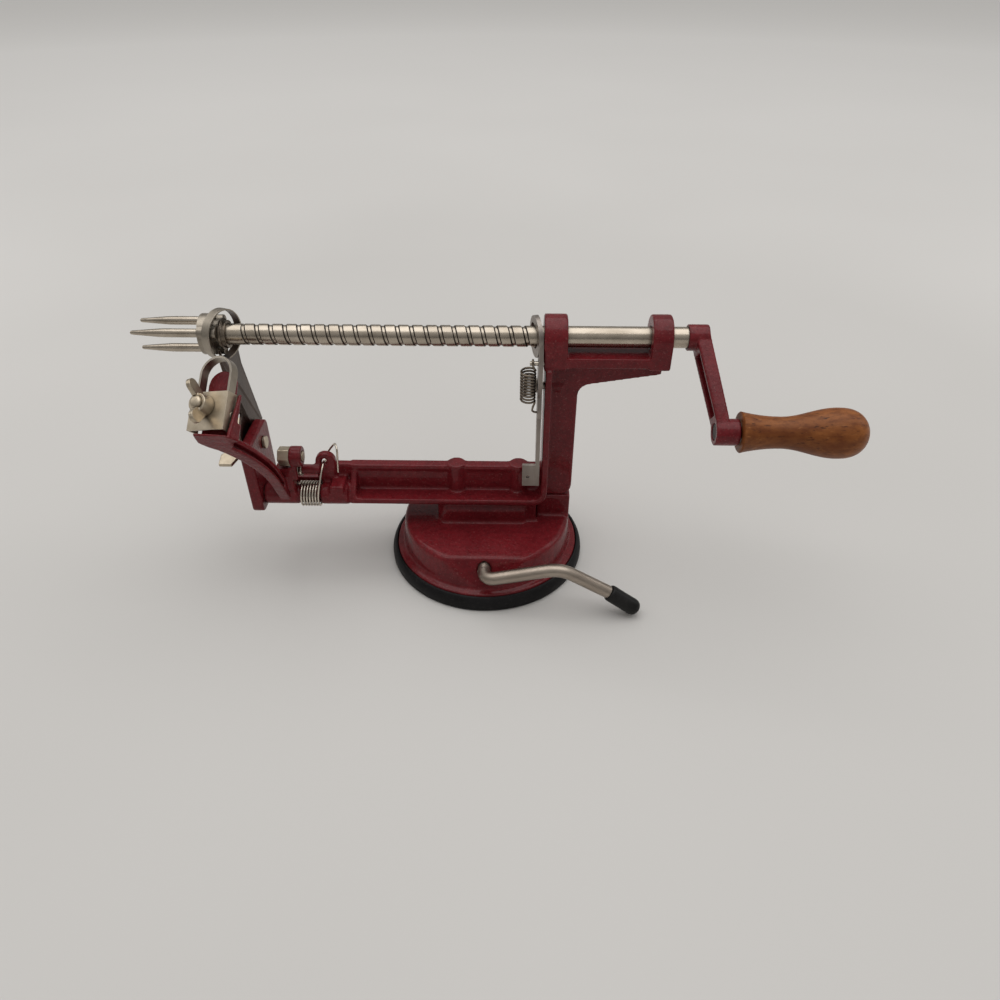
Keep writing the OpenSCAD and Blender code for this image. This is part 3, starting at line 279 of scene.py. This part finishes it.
def floor_paper():
    """Pale matt paper with a faint tone in it, paler where the lamp's light falls off."""
    material, s, surface = new_material("floor paper", Roughness=0.9, Specular_IOR_Level=0.1)
    where = s.place()
    tone = s.ramp(s.noise(2.0, 2.0, 0.5, where), 0.3, 0.7)
    colour = s.mix(tone, (0.57, 0.555, 0.535, 1), (0.61, 0.595, 0.575, 1))
    away = s.add("VectorMath", {"operation": "LENGTH"}, Vector=where).outputs["Value"]
    s.feed(surface["Base Color"], s.mix(s.ramp(away, 0.45, 2.2), colour, (0.90, 0.885, 0.865, 1)))
    return material


def red_enamel():
    """Dark red stove enamel on a casting: mottled and grained, with specks, painted glints, painted shade and
    grime in corners, and worn edges with a painted highlight.
    """
    material, s, surface = new_material("red enamel", Specular_IOR_Level=0.10, Coat_Weight=0.28,
                                        Coat_Roughness=0.09)
    where = s.place()
    tone = s.ramp(s.noise(45.0, 4.0, 0.6, where), 0.3, 0.7)
    colour = s.mix(tone, (0.118, 0.0082, 0.0118, 1), (0.172, 0.0122, 0.0168, 1))
    peel = s.noise(420.0, 3.0, 0.5, where)
    mottle = s.ramp(peel, 0.44, 0.64)
    colour = s.tint(colour, mottle, 0.35, (0.060, 0.0045, 0.0060, 1))
    specks = s.ramp(s.noise(1500.0, 2.0, 0.5, where), 0.68, 0.75)
    colour = s.tint(colour, specks, 0.75, (0.020, 0.006, 0.006, 1))
    glints = s.ramp(s.noise(1250.0, 3.0, 0.6, where), 0.60, 0.70)
    colour = s.tint(colour, glints, 0.35, (0.36, 0.15, 0.14, 1))
    # Painted shade and grime: darker where ambient occlusion finds corners and recesses.
    shade_and_grime = s.group(SHADE_AND_GRIME, Distance=2.5 * MM, Patches=260.0, Amount=0.5)["Mask"]
    colour = s.mix(shade_and_grime, colour, (0.022, 0.004, 0.005, 1))
    # Worn edges and a painted highlight: pale pink along the edges.
    wear_and_highlight = s.group(EDGE_WEAR_AND_HIGHLIGHT, Radius=0.8 * MM, Breakup=420.0, Amount=0.5)["Mask"]
    colour = s.mix(wear_and_highlight, colour, (0.30, 0.13, 0.125, 1))
    s.feed(surface["Base Color"], colour)
    dull = s.ramp(s.noise(120.0, 4.0, 0.6, where), 0.3, 0.7, 0.22, 0.38)
    s.feed(surface["Roughness"], s.math("ADD", dull, s.math("MULTIPLY", shade_and_grime, 0.3)))
    lumps = s.noise(110.0, 2.0, 0.5, where)
    grain = s.noise(1150.0, 2.0, 0.5, where)
    height = s.math("ADD", s.math("MULTIPLY", peel, 0.6), s.math("MULTIPLY", lumps, 0.7))
    height = s.math("ADD", height, s.math("MULTIPLY", grain, 0.35))
    bump(s, surface, s.math("SUBTRACT", height, s.math("MULTIPLY", specks, 0.4)), 0.55 * MM, 0.8)
    return material


def plated_metal(name, light, dark, rough, stretch, shade_and_grime_reach=2.5 * MM):
    """Bright or dull plated steel with drawn lines, stains, painted shade and grime in its corners, and worn edges
    with a painted highlight.
    """
    material, s, surface = new_material(name, Metallic=1.0)
    where = s.place(stretch)
    lines = s.group(SCRATCHES, Vector=where, Scale=2600.0)
    tone = s.ramp(lines["Patches"], 0.35, 0.68)
    colour = s.tint(light, tone, 0.7, dark)
    # Painted shade and grime: darker where ambient occlusion finds corners and recesses.
    shade_and_grime = s.group(SHADE_AND_GRIME, Distance=shade_and_grime_reach, Patches=500.0, Amount=0.75)["Mask"]
    colour = s.mix(shade_and_grime, colour, (0.05, 0.04, 0.032, 1))
    # Worn edges and a painted highlight: near white along the edges.
    wear_and_highlight = s.group(EDGE_WEAR_AND_HIGHLIGHT, Radius=0.35 * MM, Breakup=700.0, Amount=0.5)["Mask"]
    colour = s.mix(wear_and_highlight, colour, (0.86, 0.84, 0.80, 1))
    s.feed(surface["Base Color"], colour)
    gloss = s.ramp(lines["Lines"], 0.3, 0.7, rough * 0.75, rough * 1.3)
    s.feed(surface["Roughness"], s.math("ADD", gloss, s.math("MULTIPLY", shade_and_grime, 0.25)))
    bump(s, surface, lines["Lines"], 0.02 * MM, 0.35)
    return material


def black_rubber():
    """Soft black rubber with a dusty bloom."""
    material, s, surface = new_material("black rubber", Specular_IOR_Level=0.14)
    where = s.place()
    dust = s.ramp(s.noise(700.0, 5.0, 0.7, where), 0.56, 0.8)
    cloud = s.ramp(s.noise(60.0, 3.0, 0.5, where), 0.35, 0.7)
    colour = s.mix(cloud, (0.005, 0.0046, 0.005, 1), (0.013, 0.012, 0.0125, 1))
    s.feed(surface["Base Color"], s.tint(colour, dust, 0.35, (0.10, 0.09, 0.085, 1)))
    s.feed(surface["Roughness"], s.ramp(cloud, 0.0, 1.0, 0.42, 0.62))
    bump(s, surface, s.noise(900.0, 3.0, 0.6, where), 0.06 * MM, 0.5)
    return material


def black_vinyl():
    """Dipped black vinyl, a little shiny, with handling marks."""
    material, s, surface = new_material("black vinyl", Specular_IOR_Level=0.18)
    where = s.place()
    cloud = s.ramp(s.noise(160.0, 3.0, 0.6, where), 0.35, 0.7)
    s.feed(surface["Base Color"], s.mix(cloud, (0.007, 0.0066, 0.0066, 1), (0.018, 0.0165, 0.016, 1)))
    s.feed(surface["Roughness"], s.ramp(cloud, 0.0, 1.0, 0.34, 0.55))
    bump(s, surface, s.noise(520.0, 4.0, 0.6, where), 0.10 * MM, 0.5)
    return material


def turned_wood():
    """Red brown varnished beech: mottled tone, fine grain and short dark flecks."""
    material, s, surface = new_material("turned wood", Specular_IOR_Level=0.16, Coat_Weight=0.07,
                                        Coat_Roughness=0.25)
    bands = s.ramp(s.noise(170.0, 4.0, 0.6, s.place((0.3, 1, 1))), 0.32, 0.68)
    colour = s.mix(bands, (0.150, 0.040, 0.0090, 1), (0.310, 0.108, 0.028, 1))
    mottle = s.ramp(s.noise(420.0, 4.0, 0.65, s.place((0.55, 1, 1))), 0.45, 0.66)
    colour = s.tint(colour, mottle, 0.55, (0.085, 0.020, 0.0055, 1))
    cloud = s.ramp(s.noise(42.0, 3.0, 0.5, s.place((0.6, 1, 1))), 0.42, 0.68)
    colour = s.tint(colour, cloud, 0.5, (0.095, 0.024, 0.0065, 1))
    flecks = s.ramp(s.noise(1000.0, 2.0, 0.5, s.place((0.22, 1, 1))), 0.62, 0.70)
    colour = s.tint(colour, flecks, 0.75, (0.030, 0.009, 0.004, 1))
    pale = s.ramp(s.noise(900.0, 2.0, 0.5, s.place((0.2, 1, 1))), 0.66, 0.74)
    colour = s.tint(colour, pale, 0.4, (0.44, 0.19, 0.070, 1))
    s.feed(surface["Base Color"], colour)
    s.feed(surface["Roughness"], s.ramp(bands, 0.0, 1.0, 0.52, 0.38))
    bump(s, surface, s.math("SUBTRACT", bands, s.math("MULTIPLY", flecks, 1.5)), 0.05 * MM, 0.5)
    return material


# Mesh helpers.
def cad_copy(node):
    """A bmesh of a CAD node, with its loose triangles merged and its flat faces whole."""
    bm = bmesh.new()
    bm.from_mesh(frame["nodes"][node].data)
    bmesh.ops.remove_doubles(bm, verts=bm.verts, dist=0.002 * MM)
    bmesh.ops.dissolve_limit(bm, angle_limit=math.radians(0.6), verts=bm.verts, edges=bm.edges)
    return bm


def dress(name, bm, material, *nodes, smooth_angle=32, rides=True):
    """Makes a piece of a bmesh. It rides on the body of the nodes that it stands for."""
    mesh = bpy.data.meshes.new(name)
    bm.to_mesh(mesh)
    bm.free()
    mesh.materials.append(material)
    mesh.shade_smooth()
    mesh.set_sharp_from_angle(angle=math.radians(smooth_angle))
    piece = bpy.data.objects.new(name, mesh)
    bpy.context.scene.collection.objects.link(piece)
    if rides:
        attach(piece, BODY_OF[nodes[0]])
    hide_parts(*nodes)
    return piece


def soft_edges(piece, width, segments=3):
    """A Bevel modifier on the piece's sharp edges."""
    modifier = piece.modifiers.new("soft edges", "BEVEL")
    modifier.width, modifier.segments = width, segments
    modifier.limit_method, modifier.angle_limit = "ANGLE", math.radians(35)
    modifier.harden_normals = True


def casting(name, bm, material, node, voxel, rounds):
    """A casting: its solids melt into one skin with soft edges and filleted corners."""
    piece = dress(name, bm, material, node, smooth_angle=180)
    skin = piece.modifiers.new("cast skin", "REMESH")
    skin.mode, skin.voxel_size, skin.use_smooth_shade = "VOXEL", voxel, True
    soften = piece.modifiers.new("fillets", "SMOOTH")
    soften.factor, soften.iterations = 0.5, rounds


def lathe(bm, profile, origin, axis, steps=96):
    """Spins a profile of (along, radius) pairs about an axis that starts at origin."""
    along, side = axis.normalized(), axis.orthogonal().normalized()
    verts = [bm.verts.new(origin + along * a + side * r) for a, r in profile]
    edges = [bm.edges.new(pair) for pair in zip(verts, verts[1:])]
    bmesh.ops.spin(bm, geom=verts + edges, cent=origin, axis=along, angle=math.tau, steps=steps,
                   use_merge=True)
    bmesh.ops.remove_doubles(bm, verts=bm.verts, dist=WELD)
    bmesh.ops.recalc_face_normals(bm, faces=bm.faces)


def turned(bm, profile, origin, axis, steps):
    """Lathes a profile given in millimetres."""
    lathe(bm, [(a * MM, r * MM) for a, r in profile], origin, axis, steps)


def bent(corners, radius, steps=8):
    """A route through corners given in millimetres, with each bend rounded and its straights split."""
    route = [corners[0]]
    for before, corner, after in zip(corners, corners[1:], corners[2:]):
        enter = corner + (before - corner).normalized() * radius
        leave = corner + (after - corner).normalized() * radius
        route += [route[-1].lerp(enter, 0.33), route[-1].lerp(enter, 0.67)]
        for i in range(steps + 1):
            share = i / steps
            route.append(enter.lerp(corner, share).lerp(corner.lerp(leave, share), share))
    return route + [route[-1].lerp(corners[-1], 0.33), route[-1].lerp(corners[-1], 0.67), corners[-1]]


def wire(bm, route, diameter):
    """Adds a smooth round wire through points given in millimetres."""
    curve = bpy.data.curves.new("wire_line", "CURVE")
    curve.dimensions, curve.resolution_u = "3D", 2
    curve.bevel_depth, curve.bevel_resolution, curve.use_fill_caps = diameter / 2 * MM, 4, True
    spline = curve.splines.new("BEZIER")
    spline.bezier_points.add(len(route) - 1)
    for knot, point in zip(spline.bezier_points, route):
        knot.co = Vector(point) * MM
        knot.handle_left_type = knot.handle_right_type = "AUTO"
    line = bpy.data.objects.new("wire_line", curve)
    bpy.context.scene.collection.objects.link(line)
    bpy.context.view_layer.update()
    mesh = bpy.data.meshes.new_from_object(line.evaluated_get(bpy.context.evaluated_depsgraph_get()))
    bm.from_mesh(mesh)
    bpy.data.objects.remove(line)
    bpy.data.meshes.remove(mesh)
    bmesh.ops.remove_doubles(bm, verts=bm.verts, dist=WELD)
    bmesh.ops.recalc_face_normals(bm, faces=bm.faces)


# Finishes. A metal has a light tone, a dark tone, a roughness and the stretch of its lines.
EVEN, ROLLED = (1, 1, 1), (1, 1, 0.08)
ENAMEL = red_enamel()
BRIGHT = plated_metal("bright plate", (0.70, 0.635, 0.545, 1), (0.44, 0.38, 0.31, 1), 0.24, (0.05, 1, 1),
                      shade_and_grime_reach=1.2 * MM)
# Its wider reach paints shade deep inside the holder's channel.
ZINC = plated_metal("dull zinc", (0.56, 0.48, 0.37, 1), (0.35, 0.29, 0.21, 1), 0.38, EVEN,
                    shade_and_grime_reach=3.5 * MM)
BLADE = plated_metal("stamped steel", (0.39, 0.345, 0.285, 1), (0.22, 0.19, 0.155, 1), 0.36, ROLLED)
# A shaded copy of the blade steel: painted shade on the slicing blade and inside the coring band.
SHADED_BLADE = plated_metal("blade steel in painted shade", (0.080, 0.054, 0.042, 1), (0.040, 0.027, 0.021, 1), 0.32,
                          ROLLED)
ROD = plated_metal("satin rod", (0.40, 0.34, 0.285, 1), (0.26, 0.215, 0.175, 1), 0.38, (0.3, 1, 1))
SHAFT_STEEL = plated_metal("ground shaft steel", (0.53, 0.465, 0.385, 1), (0.27, 0.225, 0.175, 1), 0.24,
                           (0.35, 1, 1))
# Painted shade for the walls of the shaft's groove.
GROOVE_SHADE = plated_metal("painted groove shade", (0.075, 0.06, 0.048, 1), (0.035, 0.028, 0.022, 1), 0.40, EVEN)
WIRE = plated_metal("spring wire", (0.22, 0.18, 0.14, 1), (0.12, 0.095, 0.075, 1), 0.30, EVEN)
PLATE = plated_metal("release plate steel", (0.33, 0.29, 0.26, 1), (0.21, 0.18, 0.16, 1), 0.40, (1, 1, 0.1))
# A shaded copy of the pin steel: painted shade on the crank pin's end.
SHADED_PIN = plated_metal("pin steel in painted shade", (0.035, 0.024, 0.020, 1), (0.018, 0.013, 0.011, 1), 0.45, EVEN)
RUBBER = black_rubber()
VINYL = black_vinyl()
WOOD = turned_wood()
MATERIAL_OF_SLOT = {"red_enamel": ENAMEL, "bright_steel": BRIGHT, "zinc_steel": ZINC, "blade_steel": BLADE,
                    "black_rubber": RUBBER, "black_grip": VINYL, "turned_wood": WOOD}


# Pieces.
def make_castings():
    """The enamelled castings: frame, base cover, peeling arm and crank."""
    casting("cast_frame", cad_copy("frame"), ENAMEL, "frame", voxel=0.62 * MM, rounds=7)
    casting("cast_base", cad_copy("base_cover"), ENAMEL, "base_cover", voxel=0.68 * MM, rounds=16)
    casting("cast_arm", cad_copy("peel_arm"), ENAMEL, "peel_arm", voxel=0.36 * MM, rounds=14)
    casting("cast_crank", cad_copy("crank_arm"), ENAMEL, "crank_arm", voxel=0.36 * MM, rounds=9)


def make_plain_metal():
    """Turned and stamped pieces that keep their CAD shape, with their edges broken."""
    # The crank pin takes the shaded pin steel: its recessed end is painted in shade.
    finish_of = {"release_lever": PLATE, "handle_pin": SHADED_PIN, "fork_hub": BLADE, "stop_washer": WIRE}
    edge_of = {"stop_washer": 0.25, "fork_hub": 0.4, "handle_pin": 0.3, "release_lever": 0.3,
               "release_screw": 0.3, "spring_pin": 0.25, "stop_screw": 0.35, "stop_rings": 0.3,
               "blade_holder": 0.45, "peel_blade": 0.12, "holder_rivets": 0.12, "slicer_bolt": 0.4}
    for node, width in edge_of.items():
        material = finish_of.get(node, MATERIAL_OF_SLOT[SLOT_OF[node]])
        soft_edges(dress("piece_" + node, cad_copy(node), material, node), width * MM)


def make_shaft():
    """The drive shaft: one groove wound along it right handed, and plain ends."""
    pitch, radius, depth, per_turn = 6.35 * MM, 4.7625 * MM, 0.55 * MM, 48
    half, floor, lip, lip_dip = 1.1 * MM, 0.5 * MM, 0.1 * MM, 0.12
    wall_top, wall_foot = 0.2 * depth, 0.9 * depth
    left, right, chamfer, overlap = -110 * MM, 28.5 * MM, 0.5 * MM, 0.4 * MM
    left_plain, right_plain = 15.5 * MM, 72.5 * MM
    last_groove, grooves_before = 25.8 * MM, 23
    first = last_groove - grooves_before * pitch
    turns = math.ceil((right - first) / pitch) + 1
    bm = bmesh.new()
    groove = ((-pitch / 2, 0), (-half - lip, 0), (-half, lip_dip), (-floor, 1),
              (floor, 1), (half, lip_dip), (half + lip, 0), (pitch / 2, 0))
    verts = [bm.verts.new((first + x, -radius + depth * share, SHAFT_Z)) for x, share in groove]
    edges = [bm.edges.new(pair) for pair in zip(verts, verts[1:])]
    bmesh.ops.spin(bm, geom=verts + edges, cent=(0, 0, SHAFT_Z), axis=X_AXIS, angle=math.tau * turns,
                   dvec=X_AXIS * pitch / per_turn, steps=turns * per_turn)
    bmesh.ops.remove_doubles(bm, verts=bm.verts, dist=0.004 * MM)
    # The groove's walls take the groove shade: painted shade along both sides of the groove.
    for face in bm.faces:
        middle = face.calc_center_median() - Vector((0, 0, SHAFT_Z))
        if wall_top < radius - math.hypot(middle.y, middle.z) < wall_foot:
            face.material_index = 1
    for x, side in ((left, -1), (right, 1)):
        bmesh.ops.bisect_plane(bm, geom=bm.verts[:] + bm.edges[:] + bm.faces[:], dist=WELD,
                               plane_co=(x, 0, 0), plane_no=X_AXIS * side, clear_outer=True)
    bmesh.ops.holes_fill(bm, edges=[edge for edge in bm.edges if edge.is_boundary], sides=0)
    bmesh.ops.recalc_face_normals(bm, faces=bm.faces)
    neck = radius - 0.04 * MM
    left_end = ((-left_plain, 0), (-left_plain, radius - chamfer), (-left_plain + chamfer, radius),
                (0, radius), (overlap, neck), (overlap, 0))
    right_end = ((-overlap, 0), (-overlap, neck), (0, neck), (0, radius), (right_plain - chamfer, radius),
                 (right_plain, radius - chamfer), (right_plain, 0))
    for x, profile in ((left, left_end), (right, right_end)):
        lathe(bm, profile, Vector((x, 0, SHAFT_Z)), X_AXIS)
    piece = dress("threaded_shaft", bm, SHAFT_STEEL, "drive_shaft", smooth_angle=25)
    piece.data.materials.append(GROOVE_SHADE)


def make_prongs():
    """Three round prongs, tapered over half their length to blunt tips."""
    root, off_axis, first_angle, prongs = -121.5 * MM, 7 * MM, 32, 3
    taper = ((0, 0), (0, 1.95), (20.5, 1.95), (23, 1.9), (27, 1.62), (32, 1.22), (35.5, 0.95), (36.1, 0.82),
             (36.4, 0.55), (36.5, 0))
    bm = bmesh.new()
    for i in range(prongs):
        side = turn(first_angle + 360 / prongs * i, "X") @ (Y_AXIS * off_axis)
        turned(bm, taper, Vector((root, 0, SHAFT_Z)) + side, -X_AXIS, 40)
    dress("fork_tines", bm, SHAFT_STEEL, "fork_prongs")


def make_torsion_spring():
    """Nearly seven turns round the arm's sleeve. One leg goes with the arm, one hooks in the frame's lug."""
    left, pitch, radius, turns, per_turn, diameter = -94.5, 1.45, 6.1, 6.75, 24, 1.05
    y, z = PIVOT.y / MM, PIVOT.z / MM
    route = [(left - 4.2, y, z + radius), (left - 2, y, z + radius), (left - 0.7, y, z + radius)]
    for i in range(int(turns * per_turn) + 1):
        angle = math.radians(90 - 360 * i / per_turn)
        x = left + pitch * i / per_turn
        route.append((x, y + radius * math.cos(angle), z + radius * math.sin(angle)))
    end = left + pitch * turns
    route += [(end + 0.5, y - radius + 0.2, z + 4), (-83.0, y - 4.6, z + 10), (-82.1, y - 1.5, z + 14.6)]
    through_lug = [(-81.6, -6.1, 57.4), (-81.6, -3.5, 57), (-81.6, -0.9, 56.1)]
    over_lug = [(-81.3, 0.6, 57.5), (-80, 1.2, 60.3), (-77, 0.9, 64.3), (-75.6, -0.9, 66.3),
                (-74.4, -3.5, 66.8)]
    free_end = [(-73.7, -5.4, 65.7), (-73.8, -6, 62.9), (-74.5, -6.4, 52.9)]
    route += through_lug + over_lug + free_end
    bm = bmesh.new()
    wire(bm, route, diameter)
    spring = dress("coil_on_arm", bm, BRIGHT, "torsion_spring", smooth_angle=60, rides=False)
    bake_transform(spring)


def make_release_spring():
    """Ten close turns between the plate's ear and the pin in the head, with a hook at each end."""
    x, y, z = 20.2, -9.5, 97.4
    radius, pitch, turns, per_turn, diameter = 3.25, 1.54, 10, 24, 1.0
    route = [(26, y, 91), (24.8, y, 91), (23.3, y, 91.1), (22.4, y, 92), (23.45, y - 0.1, 95.8)]
    for i in range(turns * per_turn + 1):
        angle = math.radians(-360 * i / per_turn)
        route.append((x + radius * math.cos(angle), y + radius * math.sin(angle), z + pitch * i / per_turn))
    top, hook_x, hook_y, hook_z, hook_r = z + pitch * turns, 22.2, -8.7, 115.9, 1.55
    route += [(x + radius - 0.4, y - 1.3, top + 1), (hook_x + 0.3, y - hook_r, top + 2.4)]
    for angle in range(180, -1, -30):
        a = math.radians(angle)
        route.append((hook_x, hook_y + hook_r * math.cos(a), hook_z + hook_r * math.sin(a)))
    route.append((hook_x, hook_y + hook_r, hook_z - 1))
    bm = bmesh.new()
    wire(bm, route, diameter)
    spring = dress("coil_on_release", bm, WIRE, "release_spring", smooth_angle=60, rides=False)
    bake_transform(spring)


def rod_profile(start, end, radius):
    """The profile of a plain round rod."""
    return (start, 0), (start, radius), (end, radius), (end, 0)


def make_vacuum_lever():
    """Bent rod with its axle and cam under the cover, and a dipped grip on its end."""
    height, bend, diameter, cam_offset = 18.6, 6.4, 6.53, 1.25
    corners = [Vector(corner) for corner in ((0, -42.2, height), (0, -48, height), (37.2, -48.2, 26.9),
                                             (61.2, -49.6, 13.3))]
    axle_at = mm(0, 0, height)
    bm = bmesh.new()
    wire(bm, bent(corners, bend), diameter)
    turned(bm, rod_profile(-42.6, 12.6, 3.17), axle_at, Y_AXIS, 48)
    turned(bm, rod_profile(-3.4, 3.4, 5), axle_at - Z_AXIS * cam_offset * MM, Y_AXIS, 48)
    start, way = corners[-1] * MM, Vector((15.2, -1.9, -10.2))
    turned(bm, rod_profile(-1, 14.2, 2.4), start, way, 32)
    dress("lever_rod", bm, ROD, "vacuum_lever")
    bm = bmesh.new()
    bore = ((14.35, 0), (14.35, 2.47), (0.4, 2.47))
    skin = ((0.4, 3.5), (0.6, 3.95), (1.1, 4.15), (1.9, 4.2), (8, 4.12), (14, 4.2), (15.2, 4.12),
            (16.2, 3.85), (17.1, 3.3), (17.8, 2.4), (18.2, 1.3), (18.35, 0))
    turned(bm, bore + skin, start, way, 64)
    dress("dipped_grip", bm, VINYL, "lever_grip", smooth_angle=50)


def handle_radius(share):
    """Radius of the turned handle, in millimetres, at a share of its length."""
    waist, bulge = 0.32, 0.76
    waist_r, flare, swell, end_power = 7.1, 2.2, 4.2, 2.6
    if share < waist:
        return waist_r + flare * (1 - share / waist) ** 2
    if share < bulge:
        return waist_r + swell * (1 - math.cos(math.pi * (share - waist) / (bulge - waist))) / 2
    return (waist_r + swell) * math.sqrt(max(0, 1 - ((share - bulge) / (1 - bulge)) ** end_power))


def make_handle():
    """Turned wooden handle with a bore for its pin."""
    left, length, rings, crowding = 113.6 * MM, 56.6, 72, 1.35
    bore, bore_depth, rim = 2.55, 44.5, handle_radius(0)
    profile = [(bore_depth, 0), (bore_depth, bore), (0.3, bore), (0, 2.9), (0, rim - 0.9), (0.15, rim - 0.4),
               (0.5, rim - 0.1)]
    for i in range(2, rings + 1):
        share = 1 - (1 - i / rings) ** crowding
        profile.append((share * length, handle_radius(share)))
    bm = bmesh.new()
    turned(bm, profile, Vector((left, HANDLE_AXIS.y, HANDLE_AXIS.z)), X_AXIS, 128)
    dress("turned_handle", bm, WOOD, "handle", smooth_angle=50)


def make_suction_cup():
    """Rubber cup: a rounded rim that holds the cover's flange, and a web that the stud lifts."""
    underside = ((2.4, 4.3), (2.4, 34), (2.2, 36), (1.2, 40), (0.25, 42.6), (0, 43.4), (0, 50), (0.12, 50.5),
                 (0.5, 50.9), (1.1, 51.1))
    rim = ((3.4, 51.1), (4.3, 51.0), (5.2, 50.75), (6.1, 50.35), (6.9, 49.9), (7.45, 49.4), (7.75, 48.95),
           (7.8, 48.6), (7.6, 48.42))
    seat = ((5.15, 48.4), (5.15, 41.4), (4.8, 37), (4.6, 36), (4.6, 4.3), (2.4, 4.3))
    bm = bmesh.new()
    turned(bm, underside + rim + seat, Vector((0, 0, 0)), Z_AXIS, 192)
    dress("rubber_cup", bm, RUBBER, "suction_cup", smooth_angle=50)


def new_verts(geometry):
    """The vertices among what a bmesh operator made."""
    return [item for item in geometry if isinstance(item, bmesh.types.BMVert)]


def make_coring_band():
    """The coring band, turned a little on the shaft, with painted shade inside."""
    x, radius, width, wall, yaw = -119.3 * MM, 11.2 * MM, 4 * MM, 0.7 * MM, -21
    bm = bmesh.new()
    bmesh.ops.create_circle(bm, segments=160, radius=radius)
    rim = bmesh.ops.extrude_edge_only(bm, edges=bm.edges)["geom"]
    bmesh.ops.translate(bm, verts=new_verts(rim), vec=(0, 0, width))
    bmesh.ops.translate(bm, verts=bm.verts, vec=(0, 0, -width / 2))
    place = Matrix.Translation((x, 0, SHAFT_Z)) @ turn(yaw, "Z") @ turn(90, "Y")
    bmesh.ops.transform(bm, matrix=place, verts=bm.verts)
    bmesh.ops.recalc_face_normals(bm, faces=bm.faces)
    piece = dress("coring_band", bm, BLADE, "corer_slicer")
    # The wall's second shell takes the shaded blade steel: painted shade inside the band.
    skin = piece.modifiers.new("wall", "SOLIDIFY")
    skin.thickness, skin.offset, skin.material_offset = wall, 0, 1
    piece.data.materials.append(SHADED_BLADE)
    soft_edges(piece, 0.16 * MM, segments=2)


def make_slicing_blade():
    """The slicing blade that hangs from the coring band, with a crease pressed along it."""
    x, thickness, band_r = -119.7, 1.1, 11
    crease, crease_width, crease_rise, fall, foot_z = (1.7, 97.2), 1.3 * MM, 0.9 * MM, 0.25, 79 * MM
    arc = [math.radians(a) for a in range(345, 194, -10)]
    outline = [(band_r * math.cos(a), SHAFT_Z / MM + band_r * math.sin(a)) for a in arc]
    outline += [(-10.2, 117), (-4.4, 97), (3, 80.4), (-9, 77), (-9, 57), (-5, 54), (15, 54), (24, 66),
                (10.6, 105)]
    bm = bmesh.new()
    bm.faces.new([bm.verts.new(mm(x, y, z)) for y, z in outline])
    on_crease = mm(x, *crease)
    along = (on_crease - mm(x, 14.6, 76.2)).normalized()
    across = along.cross(X_AXIS)
    for shift in (0, crease_width):
        bmesh.ops.bisect_plane(bm, geom=bm.verts[:] + bm.edges[:] + bm.faces[:], dist=WELD,
                               plane_co=on_crease + across * shift, plane_no=across)
    thick = bmesh.ops.extrude_face_region(bm, geom=bm.faces[:])["geom"]
    bmesh.ops.translate(bm, verts=new_verts(thick), vec=mm(thickness, 0, 0))
    bmesh.ops.recalc_face_normals(bm, faces=bm.faces)
    for vert in bm.verts:
        out = (vert.co - on_crease).dot(across)
        if vert.co.z > foot_z:
            vert.co.x += crease_rise * max(0, min(1, out / crease_width)) - fall * max(0, -out)
    # The blade is dressed in the shaded blade steel: its dark face is painted shade.
    piece = dress("slicing_blade", bm, SHADED_BLADE, "corer_slicer", smooth_angle=12)
    soft_edges(piece, 0.14 * MM, segments=2)


def make_wing_nuts():
    """Cast wing nuts with rounded wings."""
    for node in ("blade_wing_nut", "slicer_wing_nut"):
        material = MATERIAL_OF_SLOT[SLOT_OF[node]]
        casting("cast_" + node, cad_copy(node), material, node, voxel=0.2 * MM, rounds=6)


def make_holder_stud():
    """Stud that clamps the holder: a domed end outside the wing nut, a collar inside and a head behind."""
    origin = HOLDER_PLACE @ mm(-1.5, -8.6, 2)
    way = HOLDER_PLACE.to_3x3() @ Y_AXIS
    domed_end = ((1.5, 0), (1.55, 1.6), (1.75, 2.2), (2.1, 2.6), (2.7, 2.75))
    collar = ((9.6, 2.75), (9.6, 4.25), (14.8, 4.25), (14.8, 2.75))
    head = ((17.8, 2.75), (17.8, 4.2), (18, 4.45), (18.9, 4.45), (19.2, 4.1), (19.2, 0))
    bm = bmesh.new()
    turned(bm, domed_end + collar + head, origin, way, 48)
    dress("clamp_stud", bm, MATERIAL_OF_SLOT[SLOT_OF["holder_stud"]], "holder_stud")


def keep_hidden_parts():
    """Inner parts keep their CAD mesh and get their finish."""
    for node, thing in frame["nodes"].items():
        if not thing.hide_render:
            thing.data.materials.clear()
            thing.data.materials.append(MATERIAL_OF_SLOT[SLOT_OF[node]])


add_camera()
add_studio()
make_castings()
make_plain_metal()
make_shaft()
make_prongs()
make_torsion_spring()
make_release_spring()
make_vacuum_lever()
make_handle()
make_suction_cup()
make_coring_band()
make_slicing_blade()
make_wing_nuts()
make_holder_stud()
keep_hidden_parts()
